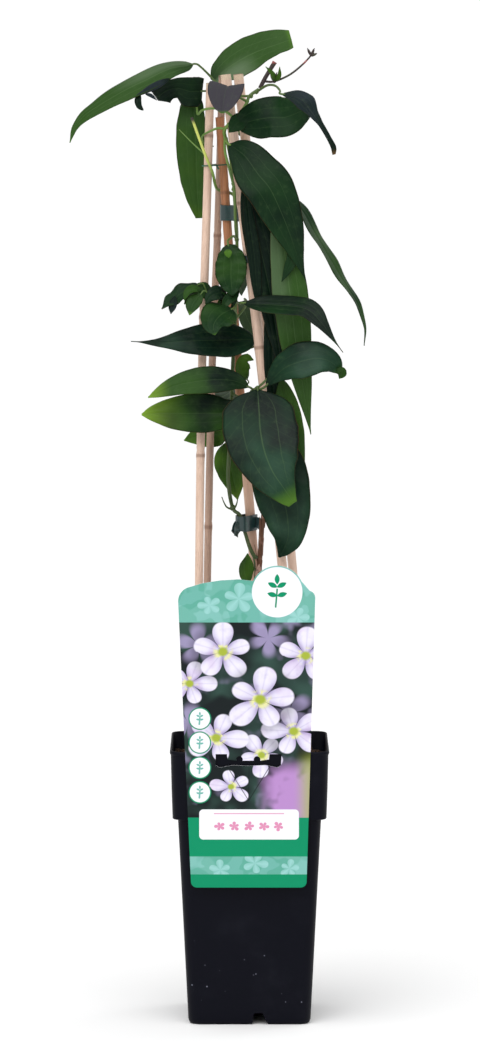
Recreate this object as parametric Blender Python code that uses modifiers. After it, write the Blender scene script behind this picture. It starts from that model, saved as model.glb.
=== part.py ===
"""An evergreen clematis in a square pot, tied to a tipi of bamboo canes, with a hang label.

Positions are written in millimetres, X to the right, Y away from the label's side and Z up,
and are turned into metres by mm(). The origin is the middle of the pot's base, on the floor.
"""

import math
from collections import namedtuple

import bmesh
import bpy
from mathutils import Matrix, Vector

# Clearance between pieces that touch, in metres
GAP = 0.0003

# Pot, in millimetres
RIM_HEIGHT = 210.0
RIM_HALF = 60.0
COLLAR_FOOT = 158.0
COLLAR_FOOT_HALF = 58.0
BODY_TOP_HALF = 54.0
BASE_HALF = 46.2
POT_WALL = 1.5
POT_CORNER = 9.0
FLOOR_UNDERSIDE = 10.5
FLOOR_TOP = 13.0
FOOT_RADIUS = 12.0
NOTCH_HEIGHT = 9.0
NOTCH_FOOT = (1.9, 14.9)
NOTCH_TOP = (3.8, 9.7)

# Soil, in millimetres
SOIL_HEIGHT = 196.0
SOIL_LUMP = 1.6

# Label, in millimetres
LABEL_THICKNESS = 0.8
LABEL_FOOT = 107.5
LABEL_TOP = 340.5
LABEL_FOOT_HALF = 43.5
LABEL_TOP_HALF = 51.3
LABEL_FOOT_MIDDLE = -0.6
LABEL_TOP_MIDDLE = -2.2
LABEL_CORNER = 4.5
LABEL_SHOULDER = 11.0
LABEL_SHOULDER_HEIGHT = 324.0
RIGHT_SHOULDER_CENTRE = (43.5, 326.5)
RIGHT_SHOULDER = 5.6
DISC_CENTRE = (20.6, 330.8)
DISC_RADIUS = 19.9
STRIP_HALF = 18.0
STRIP_DROP = 9.0

# Leaves and stems, in millimetres
BLADE_THICKNESS = 0.7
SMALL_BLADE = 16.0
STALK_RADIUS = 1.0
STEM_RADIUS = 1.5
SIDE_STEM_RADIUS = 1.2
WOODY_RADIUS = 2.5
WOODY_TIP_RADIUS = 1.6
CUT_STEM_RADIUS = 1.7
THIN_SHOOT_RADIUS = 0.9
TOP_BUD_RADIUS = 1.1
BARK_BUD_RADIUS = 1.9

# Ties, in millimetres: each tape's rods are (x, y, radius) as it goes round them
TAPE_THICKNESS = 0.6
TAPE_BANDS = (
    ("tie_tape_upper", ((-17.5, 0, 3.9), (-10.6, -7.3, 2.0)), 606, 618),
    ("tie_small_right", ((-0.8, -19.2, 4.2),), 575, 581),
    ("tie_tape_lower", ((1, 0, 4.2), (-5.6, -10.4, 4.2)), 372, 383.5),
)
WIRE_RADIUS = 0.5
WIRE_HEIGHT = 648
WIRE_RODS = ((-31.2, -9.1, 3.5), (-22.6, 10.7, 3.0), (-20, 0, 3.7))
WIRE_TWIST = ((-25, -8.6, 648), (-24.2, -10.5, 647.8), (-23, -12, 645))

PLANT = "potted_clematis"
Leaf = namedtuple(
    "Leaf", "name spine width stalk face face_tip widest base_power tip_power fold cup profile"
)


def leaf(name, spine, width, stalk, face=(0, -1, 0.2), face_tip=None, widest=0.4,
         base_power=0.6, tip_power=0.9, fold=0.0, cup=0.0, profile=()):
    """One blade: its midrib from base to tip, full width, stalk from the stem, and how it turns.

    A torn or lopsided blade has a profile: how far each edge is from the midrib, by its length.
    """
    return Leaf(name, spine, width, stalk, face, face_tip or face, widest, base_power,
                tip_power, fold, cup, profile)


LEAVES = (
    leaf("leaf_top_left_long",
         ((-43, -3, 723.5), (-60, -8, 720.5), (-82, -14, 710), (-105, -18, 698),
          (-122, -18, 687), (-131, -15, 677), (-135, -12, 665)),
         width=21.5, stalk=((1, -14, 700), (-7, -7, 700), (-14, -3, 702), (-22, 0.5, 706),
                            (-29, 2, 714), (-36, 0, 721)),
         face=(-0.15, -0.68, 0.7), widest=0.35, base_power=0.35, fold=-0.2),
    leaf("leaf_top_left_dark",
         ((-35.5, 3, 703.5), (-45, 1, 703.5), (-54, -2, 705.5), (-63, -4, 703.5),
          (-70, -5, 698)),
         width=24, stalk=((-24, 0.8, 707.5), (-27, 2.3, 706.5), (-30, 3, 704.5)),
         face=(0, -0.85, -0.45),
         profile=((0, 11.5, 9.5), (0.08, 12.8, 12.5), (0.3, 12.8, 12.8), (0.42, 11.5, 8.5),
                  (0.62, 9, 8), (0.8, 8, 10.5), (0.9, 8.5, 7), (1, 8, 2))),
    leaf("leaf_left_hanging",
         ((-42, 17, 701), (-41, 14, 674), (-40, 12, 651), (-39.5, 11, 629), (-38.5, 11, 607.5)),
         width=27, stalk=((-11, -21, 683), (-17, -20, 688), (-24, -14, 690.5), (-31, -12, 690.5),
                          (-36, -8, 689), (-38.5, 2, 686), (-39.5, 10, 687.5),
                          (-40, 13.5, 694.5), (-40.5, 14.5, 702), (-41.5, 17.5, 707)),
         face=(-0.15, -0.95, 0.1),
         profile=((0, 5, 4), (0.08, 10.5, 7), (0.25, 14.5, 8.5), (0.5, 15, 9), (0.7, 12.5, 8),
                  (0.85, 8.5, 6.5), (0.95, 4.5, 4.5), (1, 2, 3))),
    leaf("leaf_top_right_big",
         ((-27, 24, 710), (-20, 24, 718), (-8, 24, 726), (5, 24, 732.5), (18, 23, 737.5),
          (31.5, 21, 742.5)),
         width=31, stalk=((-10, -5, 701), (-13, 1, 700), (-14.5, 8, 700), (-18, 17, 700),
                          (-25, 22, 702)),
         face=(0.1, -0.78, 0.62),
         profile=((0, 3.5, 3.5), (0.12, 9.5, 9.5), (0.3, 14.5, 14.5), (0.5, 15.5, 16.5),
                  (0.68, 12.5, 15), (0.85, 9.5, 12.5), (0.96, 9.5, 9.5), (1, 8.5, 8))),
    leaf("leaf_top_heart",
         ((-15, -20, 703), (-16, -32, 707.5), (-17.5, -44, 705.5), (-19, -53, 699),
          (-20.5, -60, 688)),
         width=27, stalk=((-2, -15.5, 696), (-8, -17.5, 699)),
         face=(0, -0.25, 0.97), face_tip=(0, -0.9, 0.4), widest=0.55, base_power=0.5,
         tip_power=0.5, fold=0.14),
    leaf("leaf_right_wide",
         ((-9, -26, 677), (-1, -29, 681), (13, -33, 684), (26, -37, 684.5), (38, -41, 689),
          (47, -44, 694)),
         width=33, stalk=((-15, -20.5, 679), (-12, -24, 677)),
         face=(0.15, -0.93, 0.3), widest=0.45, base_power=0.5, tip_power=0.6),
    leaf("leaf_right_tail",
         ((25, -56.5, 702), (34.5, -60, 700), (42, -63, 694.7), (48, -65, 686.5),
          (53, -65.5, 679), (58.3, -65, 670), (62, -63.5, 662.6), (62.5, -62, 657.5)),
         width=19, stalk=((5, -13, 703), (13, -22, 708), (19, -38, 708), (22.5, -50, 704.5)),
         face=(0.35, -0.75, 0.55),
         profile=((0, 1.5, 1.5), (0.16, 7, 7), (0.3, 9.5, 9.5), (0.45, 5, 5), (0.6, 2.6, 2.6),
                  (0.78, 2.3, 2.3), (0.92, 2.7, 2.7), (1, 1.4, 1.4))),
    leaf("leaf_centre_right",
         ((-15, -24, 664), (-3.5, -34, 655.5), (6.5, -40, 642), (15.5, -44, 631),
          (24, -46, 613), (30, -45, 598), (34.5, -42, 584.5), (42, -38, 562.5)),
         width=36, stalk=((-18, -11, 668), (-18, -18, 668)),
         face=(-0.05, -0.97, 0.2), widest=0.35, tip_power=1.25),
    leaf("leaf_far_right",
         ((8, -5, 642), (23, -7, 631), (38, -8, 616), (52.5, -10, 591), (64.5, -11, 570.5),
          (74.5, -11, 555), (82, -10, 542), (87, -8, 527), (86.5, -6, 512)),
         width=15, stalk=((-12.5, -7, 640), (-5, -6, 643), (2, -5, 644)),
         face=(0.55, -0.45, 0.7), widest=0.45, tip_power=0.9),
    leaf("leaf_long_green",
         ((20, -31, 617), (26, -33, 584), (31, -35, 547), (35, -36, 513), (40, -36, 483),
          (46, -33, 447)),
         width=27, stalk=((-12, -7, 630), (-3, -10, 632), (6, -16, 632), (14, -26, 627)),
         face=(0.1, -0.98, 0.15), widest=0.4, tip_power=1.1),
    leaf("leaf_long_dark",
         ((-1, -26, 637), (3, -27, 610.5), (8.5, -27, 585), (15.5, -28, 552.5), (21, -28, 517),
          (25, -29, 491)),
         width=23, stalk=((-12, -7, 634), (-4, -10, 638), (-1, -17, 642)),
         face=(0.1, -0.98, 0.1), widest=0.4, base_power=0.35),
    leaf("leaf_small_dark",
         ((29, -38.5, 594), (32, -39, 581), (28, -38.5, 570), (24, -38.5, 562)),
         width=9, stalk=((14, -26, 627), (20, -36, 619), (26, -39, 606)),
         face=(0.1, -0.98, 0.15), widest=0.4),
    leaf("leaf_crinkled",
         ((-16, -22, 589), (-14, -26, 578), (-14, -28, 565), (-13, -30, 551)),
         width=24, stalk=((-9.5, -8, 592), (-12, -14, 595), (-15, -19, 593)),
         face=(0, -1, 0.1), widest=0.5, base_power=0.45, tip_power=0.7),
    leaf("leaf_small_curled",
         ((-38, -26, 559), (-47, -28, 555.5), (-57, -30, 549), (-66, -31, 541)),
         width=16, stalk=((-10.5, -9, 556), (-18, -14, 551), (-26, -20, 550), (-31, -24, 551.5)),
         face=(-0.3, -0.7, 0.6), widest=0.45),
    leaf("leaf_small_left",
         ((-36, -35.5, 553), (-42, -39, 546), (-45, -41, 537)),
         width=12, stalk=((-30, -24, 551), (-31, -31, 552.5)),
         face=(-0.2, -0.9, 0.3), widest=0.45),
    leaf("leaf_triangle",
         ((-13, -30, 541), (-22, -40, 537), (-27, -48, 530), (-26, -53, 523)),
         width=28, stalk=((-10.8, -9.5, 536), (-11, -18, 539), (-11.5, -25, 541)),
         face=(0, -0.8, 0.6), widest=0.4, tip_power=0.8),
    leaf("leaf_tiny_upright",
         ((-19, -20, 537), (-20, -21, 545), (-17, -21, 552)),
         width=9, stalk=((-11.5, -10, 533), (-17, -16, 531)),
         face=(0.2, -1, 0), widest=0.45),
    leaf("leaf_left_high",
         ((4, -13, 517), (-8, -20, 517.5), (-30, -28, 517.5), (-48, -32, 517),
          (-69, -34, 516), (-89, -34, 517)),
         width=28, stalk=((-11, -9.5, 512), (-4, -9.5, 510), (4, -10, 512)),
         face=(0, -0.93, 0.35), widest=0.28, tip_power=1.7),
    leaf("leaf_left_middle",
         ((-1, -36, 483), (-11, -38, 487.5), (-23, -41, 488.5), (-40, -44, 487.5),
          (-57, -45, 484), (-76, -44, 475.5)),
         width=22, stalk=((2, -31, 479),),
         face=(0, -0.9, 0.45), widest=0.4, tip_power=0.8),
    leaf("leaf_left_low",
         ((-4, -29, 470), (-17, -31, 463.5), (-34, -33, 463), (-52, -35, 463), (-68, -35, 463),
          (-81, -34, 462)),
         width=30, stalk=((-3, -23, 475.5),),
         face=(0, -0.97, 0.2), widest=0.45, tip_power=0.75),
    leaf("leaf_front_big",
         ((6, -38, 481), (7, -50, 467), (8, -58, 452), (11, -63, 437), (17, -66, 422),
          (25, -66, 410), (33, -63, 398)),
         width=55, stalk=((-13, -9.5, 476), (-8, -15, 474), (-2, -24, 476), (2, -31, 479)),
         face=(0, -0.9, 0.45), face_tip=(0, -1, 0.1),
         profile=((0, 0.7, 0.7), (0.06, 15, 12.5), (0.12, 22, 20.5), (0.2, 27.5, 26),
                  (0.38, 28.5, 28.5), (0.53, 25.5, 27), (0.7, 18.5, 21.5), (0.85, 12.5, 10.5),
                  (0.95, 8, 5), (1, 4.5, 2.5))),
    leaf("leaf_front_low",
         ((18, -40, 447), (21, -46, 428), (24, -49, 406), (28, -48, 388), (29, -45, 372),
          (26, -42, 362), (22, -40, 355)),
         width=43, stalk=((-14, -9, 450), (-6, -16, 448), (4, -28, 449), (12, -36, 450)),
         face=(0.05, -0.98, 0.15), widest=0.35, base_power=0.5, tip_power=0.75),
    leaf("leaf_right_behind",
         ((24, -36, 489), (28, -37, 466), (31, -35.5, 440), (35, -34, 418), (36, -33, 402)),
         width=22, stalk=((4, -34, 480.5), (9, -38, 485), (18, -37.5, 493)),
         face=(0.1, -0.98, 0.1), widest=0.45),
    leaf("leaf_right_middle",
         ((13, -41.5, 485), (25, -48, 497), (37.5, -53, 503), (51, -55, 505.5),
          (61, -53.5, 502.5), (68, -50, 495)),
         width=30, stalk=((3, -33, 480), (7, -37, 481)),
         face=(-0.1, -0.9, 0.4),
         profile=((0, 1.5, 1.5), (0.12, 5, 6.5), (0.26, 9.5, 12), (0.48, 14.5, 15),
                  (0.68, 13, 13.5), (0.84, 8.5, 8.5), (0.94, 5, 5), (1, 2, 2))),
    leaf("leaf_right_high",
         ((-4, -38, 546), (9, -44, 545.5), (31, -49, 544), (44, -54, 541.5), (53.5, -59, 532),
          (62, -62, 520.5), (69.5, -63, 510.5)),
         width=23, stalk=((-10.3, -9, 545), (-8, -20, 545), (-7, -31, 545)),
         face=(0, -0.62, 0.78), widest=0.38, tip_power=1.8),
    leaf("leaf_small_yellow",
         ((-2, -14, 487), (-6, -17, 495), (-3, -20, 503), (3, -19, 502)),
         width=12, stalk=((-12.8, -9.5, 484), (-6, -11, 483)),
         face=(0.3, -0.9, 0.3), widest=0.45, cup=0.4),
    leaf("leaf_low_yellow",
         ((-16, 2, 439), (-15, 6, 424), (-12, 8, 409), (-9, 8, 394)),
         width=24, stalk=((-15, -9, 442), (-17, -4, 443)),
         face=(0, -1, 0.1), widest=0.35),
    leaf("leaf_behind_left",
         ((-15, 23, 443), (-24, 31, 442), (-36, 35, 441), (-50, 35, 437)),
         width=20, stalk=((-14.5, -9, 447), (-17, -2, 447), (-15, 10, 446)),
         face=(0, -1, 0.1), widest=0.45),
    leaf("leaf_bottom_rolled",
         ((-1, -16, 333), (-4, -19, 344), (-1.5, -21, 356)),
         width=14, stalk=((2.5, -11, 354.5), (4, -13, 346), (4, -13, 337), (2.5, -14.3, 331)),
         face=(0.5, -0.8, 0), widest=0.5, cup=0.4),
    leaf("leaf_back_top",
         ((-9, 16, 672), (4, 27, 679), (22, 34, 684), (36, 37, 680)),
         width=24, stalk=((-13, -7, 645), (-11, 0, 655), (-10.5, 9, 667)),
         face=(0.2, 0.8, 0.55), widest=0.4),
    leaf("leaf_back_upper",
         ((-9, 16, 631), (-1, 28, 627), (13, 38, 612), (22, 43, 590)),
         width=26, stalk=((-11.3, -7, 628), (-10, 2, 633), (-10, 9, 634)),
         face=(0.3, 0.85, 0.4), widest=0.4),
    leaf("leaf_back_away",
         ((-11, 16, 573), (-10, 34, 574), (-8, 54, 564), (-6, 70, 546)),
         width=26, stalk=((-9.7, -8, 582), (-6, 0, 580), (-10, 9, 574)),
         face=(0, 0.2, 0.97), face_tip=(0, 0.8, 0.55), widest=0.4, fold=0.15),
    leaf("leaf_back_right",
         ((-3, 15, 545), (2, 30, 536), (13, 41, 512), (20, 46, 486)),
         width=27, stalk=((-11, -9.5, 532), (-4, -1, 540), (-2.5, 8, 545)),
         face=(0.25, 0.9, 0.3), widest=0.4),
    leaf("leaf_back_left",
         ((-13, 16, 478), (-21, 35, 471), (-38, 46, 465), (-56, 51, 460)),
         width=24, stalk=((-13, -9.5, 488), (-15, -2, 486), (-13, 8, 481)),
         face=(-0.3, 0.85, 0.4), widest=0.4),
    leaf("leaf_back_low",
         ((-4, 15, 441), (-1, 30, 430), (6, 42, 408), (10, 47, 386)),
         width=26, stalk=((-14, -9, 458), (-10, 2, 455), (-5, 9, 447)),
         face=(0.2, 0.9, 0.35), widest=0.4),
)

MAIN_STEM = (
    (5.4, -9, 351.5), (3.4, -10.7, 353), (0, -11.5, 360), (-3, -11, 369.5), (-7.2, -10.2, 383.5),
    (-12.8, -9, 389.5), (-16, -9, 409), (-15.5, -9, 429), (-14, -9, 455), (-13, -9.5, 490),
    (-11, -9.5, 530), (-10, -9, 565), (-9.5, -8, 590), (-11, -7, 620), (-13, -7, 645),
    (-16, -9, 662), (-19, -13, 673), (-16, -20, 678.5), (-10, -21, 683), (-3, -17, 693),
    (0, -14, 700), (7, -13, 705),
)
SIDE_STEM = (
    (-9.5, -8, 594), (-10.3, -14, 600), (-10.8, -21, 611), (-11.5, -23, 630),
    (-15, -21.5, 645), (-18.5, -16, 659), (-18.5, -12, 671),
)
TENDRILS = (
    ((-18, -14, 675), (-23, -13, 676), (-29, -13, 674), (-35, -11, 670.5), (-35.5, -7, 667),
     (-33, -2, 663.5), (-27, -2, 662)),
    ((-11, -7, 624), (-13, 3, 626), (-18.5, 6.2, 628), (-24, 3, 629.5), (-26, -6, 634),
     (-28, -14.5, 643), (-34, -18, 658), (-43.5, -15, 684)),
    ((-33, -17.6, 656), (-43, -15, 665), (-53, -12, 675)),
    ((-13, -9, 388), (-17, -11, 390), (-19, -12, 393), (-21, -12, 398)),
    ((-12, -9.5, 388), (-10, -12, 392), (-9, -13, 396)),
)
TENDRIL_RADII = (1.0, 1.2, 0.6, 0.7, 0.8)

WOODY_STEM = (
    (18, -9, 186), (14, -8.5, 230), (10.5, -8, 280), (8, -7.5, 325), (7.5, -7, 345),
    (9, -6.5, 365), (10.5, -6, 385),
)
BARK_BUD = ((7, -9.5, 333), (6.2, -12, 339), (7.5, -12.5, 347))
TOP_CUT_STEM = ((7.8, -13, 705.8), (12, -13, 714), (19, -13, 725.5))
TOP_THIN_SHOOT = ((10.5, -13, 711), (18.5, -17, 711), (30, -20, 716), (40, -22.5, 724),
                  (46.5, -24, 731))
TOP_BUDS = (
    ((46, -24, 730), (48.5, -24, 736)),
    ((46, -24, 730), (43, -26, 736)),
    ((46, -24, 730), (50.5, -25, 732)),
    ((18.5, -17, 711), (20.5, -19, 718)),
    ((18.5, -17, 711), (15.5, -19, 716)),
)

Cane = namedtuple("Cane", "name route foot_radius top_radius joints")
CANES = (
    Cane("cane_front_left",
         ((-40, -43, 114), (-38, -31, 344), (-35.7, -19, 498), (-32, -11, 622),
          (-29.5, -4.6, 709.5)),
         3.0, 3.1, (0.12, 0.3, 0.52, 0.7, 0.93)),
    Cane("cane_back_left",
         ((-36, 42, 114), (-32, 31, 340), (-28.3, 20.5, 496), (-24.3, 13, 593), (-20.5, 8, 715)),
         2.9, 2.7, (0.2, 0.42, 0.61, 0.8)),
    Cane("cane_centre",
         ((21.5, 0, 114), (4, 0, 341), (-3, 0, 425), (-9.1, 0, 500), (-16.3, 0, 595),
          (-22.5, 0, 684)),
         3.9, 3.2, (0.1, 0.26, 0.44, 0.6, 0.75, 0.9)),
    Cane("cane_front_right",
         ((43, -42, 114), (40, -39, 190), (25.3, -31, 341), (5.4, -21.5, 529), (-18, -12, 716)),
         3.3, 3.9, (0.22, 0.47, 0.66, 0.84)),
    Cane("cane_back_right",
         ((47, 41, 114), (45, 38, 190), (32.5, 29, 345), (11, 17, 540), (-8.5, 6, 716)),
         3.1, 3.7, (0.16, 0.36, 0.55, 0.74, 0.9)),
)


def mm(point):
    """A point written in millimetres, as a vector in metres."""
    return Vector(point) * 0.001


class Path:
    """A smooth curve through a few points, followed by the share t of its length."""

    def __init__(self, points):
        self.points = [mm(point) for point in points]
        self.lengths = [0.0]
        for first, second in zip(self.points, self.points[1:]):
            self.lengths.append(self.lengths[-1] + (second - first).length)

    def at(self, t):
        far = min(max(t, 0.0), 1.0) * self.lengths[-1]
        span = 0
        while span < len(self.points) - 2 and far > self.lengths[span + 1]:
            span += 1
        share = (far - self.lengths[span]) / (self.lengths[span + 1] - self.lengths[span])
        start, end = self.points[span], self.points[span + 1]
        before = self.points[span - 1] if span else start * 2 - end
        after = self.points[span + 2] if span + 2 < len(self.points) else end * 2 - start
        return 0.5 * (
            start * 2
            + (end - before) * share
            + (before * 2 - start * 5 + end * 4 - after) * share**2
            + (start * 3 - before - end * 3 + after) * share**3
        )

    def heading(self, t):
        step = 0.01
        return (self.at(t + step) - self.at(t - step)).normalized()


def clear_scene():
    for obj in list(bpy.data.objects):
        bpy.data.objects.remove(obj)


def new_collection(name):
    collection = bpy.data.collections.new(name)
    bpy.context.scene.collection.children.link(collection)
    return collection


def finish(name, colour, roughness, metallic=0.0):
    """A Principled material in one colour."""
    material = bpy.data.materials.new(name)
    material.use_nodes = True
    shader = material.node_tree.nodes["Principled BSDF"]
    shader.inputs["Base Color"].default_value = (*colour, 1.0)
    shader.inputs["Roughness"].default_value = roughness
    shader.inputs["Metallic"].default_value = metallic
    material.diffuse_color = (*colour, 1.0)
    return material


def object_from(name, bm, collection, material=None):
    mesh = bpy.data.meshes.new(name)
    bm.to_mesh(mesh)
    bm.free()
    obj = bpy.data.objects.new(name, mesh)
    collection.objects.link(obj)
    if material:
        mesh.materials.append(material)
    return obj


def evaluated_mesh(obj):
    graph = bpy.context.evaluated_depsgraph_get()
    return bpy.data.meshes.new_from_object(obj.evaluated_get(graph))


def as_mesh(curve_object, material=None):
    """The curve object as a mesh object with its caps welded on."""
    name, collection = curve_object.name, curve_object.users_collection[0]
    mesh = evaluated_mesh(curve_object)
    bpy.data.objects.remove(curve_object)
    bm = bmesh.new()
    bm.from_mesh(mesh)
    bpy.data.meshes.remove(mesh)
    bmesh.ops.remove_doubles(bm, verts=bm.verts, dist=1e-6)
    return object_from(name, bm, collection, material)


def tube(name, points, radii, collection, resolution=1, material=None):
    """A round tube through points in metres, with filled ends and a radius in metres at each."""
    data = bpy.data.curves.new(name, "CURVE")
    data.dimensions = "3D"
    data.bevel_depth = 1.0
    data.bevel_resolution = resolution
    data.use_fill_caps = True
    spline = data.splines.new("POLY")
    spline.points.add(len(points) - 1)
    for spot, point, radius in zip(spline.points, points, radii):
        spot.co = (*point, 1.0)
        spot.radius = radius
    obj = bpy.data.objects.new(name, data)
    collection.objects.link(obj)
    return as_mesh(obj, material)


def round_rod(name, points, radius, collection, spacing=6.0, resolution=1, tip_radius=None,
              material=None):
    """A tube along a smooth path, with a ring about every `spacing` millimetres."""
    path = Path(points)
    steps = max(2, round(path.lengths[-1] * 1000 / spacing))
    shares = [step / steps for step in range(steps + 1)]
    tip_radius = radius if tip_radius is None else tip_radius
    radii = [0.001 * (radius + (tip_radius - radius) * share) for share in shares]
    return tube(name, [path.at(share) for share in shares], radii, collection, resolution,
                material)


def join_all(base, others):
    """Unites the objects of a collection with base, and removes them."""
    union = base.modifiers.new("Join", "BOOLEAN")
    union.operation = "UNION"
    union.operand_type = "COLLECTION"
    union.collection = others
    union.solver = "EXACT"
    mesh = evaluated_mesh(base)
    base.modifiers.clear()
    base.data = mesh
    for obj in list(others.objects):
        bpy.data.objects.remove(obj)
    bpy.data.collections.remove(others)
    return base


def cut(obj, cutters, cutter):
    """Cuts obj by one cutter object, which stays in the cutters collection as a wire."""
    cutter.hide_render = True
    cutter.display_type = "WIRE"
    if cutter.name not in cutters.objects:
        cutters.objects.link(cutter)
    boolean = obj.modifiers.new(cutter.name, "BOOLEAN")
    boolean.operation = "DIFFERENCE"
    boolean.object = cutter
    boolean.solver = "EXACT"


def rounded_square(half, corner, height, steps=3):
    """Points round a square with rounded corners, anticlockwise seen from above."""
    ring = []
    for quarter in range(4):
        turn = quarter * math.pi / 2
        middle = Vector((half - corner, half - corner))
        middle.rotate(Matrix.Rotation(turn, 2))
        for step in range(steps + 1):
            angle = turn + math.pi / 2 * step / steps
            ring.append((middle.x + corner * math.cos(angle),
                         middle.y + corner * math.sin(angle), height))
    return ring


def loft(name, rings, collection, material):
    """A closed solid through rings of equal count, the first and last of them capped."""
    bm = bmesh.new()
    loops = [[bm.verts.new(mm(point)) for point in ring] for ring in rings]
    for lower, upper in zip(loops, loops[1:]):
        for i in range(len(lower)):
            j = (i + 1) % len(lower)
            bm.faces.new((lower[i], lower[j], upper[j], upper[i]))
    bm.faces.new(reversed(loops[0]))
    bm.faces.new(loops[-1])
    bmesh.ops.recalc_face_normals(bm, faces=bm.faces)
    return object_from(name, bm, collection, material)


def smooth(obj, degrees=40):
    obj.data.shade_smooth()
    obj.data.set_sharp_from_angle(angle=math.radians(degrees))


def pot_half(height):
    """Half the pot's outer width at a height on its tapering body."""
    return BASE_HALF + (BODY_TOP_HALF - BASE_HALF) * height / COLLAR_FOOT


def make_pot(parts, cutters, plastic):
    """A thin tapering tub with a stepped collar, a raised floor and a notch in each foot edge."""
    inner_foot = BASE_HALF - 3.5
    collar_inner = COLLAR_FOOT_HALF - POT_WALL
    sections = (
        (inner_foot, FLOOR_UNDERSIDE), (inner_foot, 0), (BASE_HALF - 2.4, 0),
        (BASE_HALF - 0.5, 1.6), (pot_half(5), 5), (BODY_TOP_HALF, COLLAR_FOOT),
        (COLLAR_FOOT_HALF, COLLAR_FOOT), (RIM_HALF, RIM_HEIGHT - 0.6),
        (RIM_HALF - 0.5, RIM_HEIGHT), (RIM_HALF - POT_WALL + 0.4, RIM_HEIGHT),
        (RIM_HALF - POT_WALL, RIM_HEIGHT - 0.6), (collar_inner, COLLAR_FOOT + 2),
        (BODY_TOP_HALF - POT_WALL, COLLAR_FOOT - 2), (pot_half(FLOOR_TOP) - POT_WALL, FLOOR_TOP),
    )
    rings = [rounded_square(half, POT_CORNER - 2 * (height < 2), height)
             for half, height in sections]
    pot = loft("pot", rings, parts, plastic)

    feet = new_collection("pot_foot")
    bm = bmesh.new()
    bmesh.ops.create_cone(bm, cap_ends=True, segments=24, radius1=FOOT_RADIUS * 0.001,
                          radius2=(FOOT_RADIUS + 1.5) * 0.001, depth=0.011,
                          matrix=Matrix.Translation((0, 0, 0.0055)))
    object_from("pot_middle_foot", bm, feet)
    join_all(pot, feet)

    for side in range(4):
        reach = (BASE_HALF - 8, BASE_HALF + 3)
        profile = ((NOTCH_FOOT[0], -1), (NOTCH_FOOT[1], -1), (NOTCH_TOP[1], NOTCH_HEIGHT),
                   (NOTCH_TOP[0], NOTCH_HEIGHT))
        rings = [[(x, -y, z) for x, z in profile] for y in reach]
        notch = loft(f"notch_{side}", rings, cutters, None)
        notch.data.transform(Matrix.Rotation(side * math.pi / 2, 4, "Z"))
        cut(pot, cutters, notch)
    smooth(pot)


def lumps(x, y):
    """The soil's uneven height at a place, in millimetres."""
    return SOIL_LUMP * (math.sin(x * 0.13 + 1.1) * math.cos(y * 0.17) + math.sin(x * 0.31 - y * 0.23))


def make_soil(parts, cutters, earth):
    """What fills the pot, with a lumpy top and a plain hole for each cane and the old stem."""
    clear = 0.4
    sections = (
        (pot_half(FLOOR_TOP) - POT_WALL - clear, FLOOR_TOP + clear),
        (BODY_TOP_HALF - POT_WALL - clear, COLLAR_FOOT - 2),
        (COLLAR_FOOT_HALF - POT_WALL - clear, COLLAR_FOOT + 2 + clear),
    )
    rings = [rounded_square(half, POT_CORNER - 1, height) for half, height in sections]
    edge = COLLAR_FOOT_HALF - POT_WALL - clear
    for half, corner in ((edge + 1, POT_CORNER - 1), (44, 12), (30, 12), (15, 8), (5, 3)):
        rings.append([(x, y, SOIL_HEIGHT + lumps(x, y))
                      for x, y, _ in rounded_square(half, corner, 0)])
    soil = loft("soil", rings, parts, earth)
    roots = [(cane.route, max(cane.foot_radius, cane.top_radius) * 1.18) for cane in CANES]
    roots.append((WOODY_STEM, WOODY_RADIUS * 1.1))
    for number, (route, radius) in enumerate(roots):
        foot, bend = Vector(route[0]), Vector(route[1])
        heading = (bend - foot).normalized()
        ends = [foot - heading * 0.5, foot + heading * 110]
        bore = tube(f"bore_{number}", [mm(end) for end in ends],
                    [(radius + 0.4) * 0.001] * 2, cutters, resolution=3)
        cut(soil, cutters, bore)


def arc(centre, radius, first, last, steps):
    """Points on a round stretch of an outline, between two angles in degrees."""
    return [
        (centre[0] + radius * math.cos(math.radians(first + (last - first) * step / steps)),
         centre[1] + radius * math.sin(math.radians(first + (last - first) * step / steps)))
        for step in range(steps + 1)
    ]


def flat_outline(name, outline, y, thickness, collection):
    """An upright plate of one outline, given as (x, z) points, centred on a depth y."""
    data = bpy.data.curves.new(name, "CURVE")
    data.dimensions = "2D"
    data.fill_mode = "BOTH"
    data.extrude = thickness * 0.0005
    spline = data.splines.new("POLY")
    spline.points.add(len(outline) - 1)
    for spot, (x, z) in zip(spline.points, outline):
        spot.co = (x * 0.001, z * 0.001, 0, 1)
    spline.use_cyclic_u = True
    obj = bpy.data.objects.new(name, data)
    obj.location = (0, y * 0.001, 0)
    obj.rotation_euler = (math.pi / 2, 0, 0)
    collection.objects.link(obj)
    bpy.context.view_layer.update()
    place = obj.matrix_world.copy()
    plate = as_mesh(obj)
    plate.data.transform(place)
    return plate


def label_outline():
    """The tag's edge: round lower corners, soft shoulders and a round bulge at the top right."""
    corner_reach = LABEL_FOOT_HALF - LABEL_CORNER
    foot_left = (LABEL_FOOT_MIDDLE - corner_reach, LABEL_FOOT + LABEL_CORNER)
    foot_right = (LABEL_FOOT_MIDDLE + corner_reach, LABEL_FOOT + LABEL_CORNER)
    top_left = (LABEL_TOP_MIDDLE - LABEL_TOP_HALF + LABEL_SHOULDER, LABEL_SHOULDER_HEIGHT)
    outline = arc(foot_left, LABEL_CORNER, 270, 180, 4)
    outline += arc(top_left, LABEL_SHOULDER, 180, 100, 5)
    outline += [(-22, LABEL_TOP - 0.6), (-8, LABEL_TOP)]
    outline += arc(DISC_CENTRE, DISC_RADIUS, 155, 25, 14)
    outline += arc(RIGHT_SHOULDER_CENTRE, RIGHT_SHOULDER, 75, 0, 4)
    outline += arc(foot_right, LABEL_CORNER, 0, -90, 4)
    return outline


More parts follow.
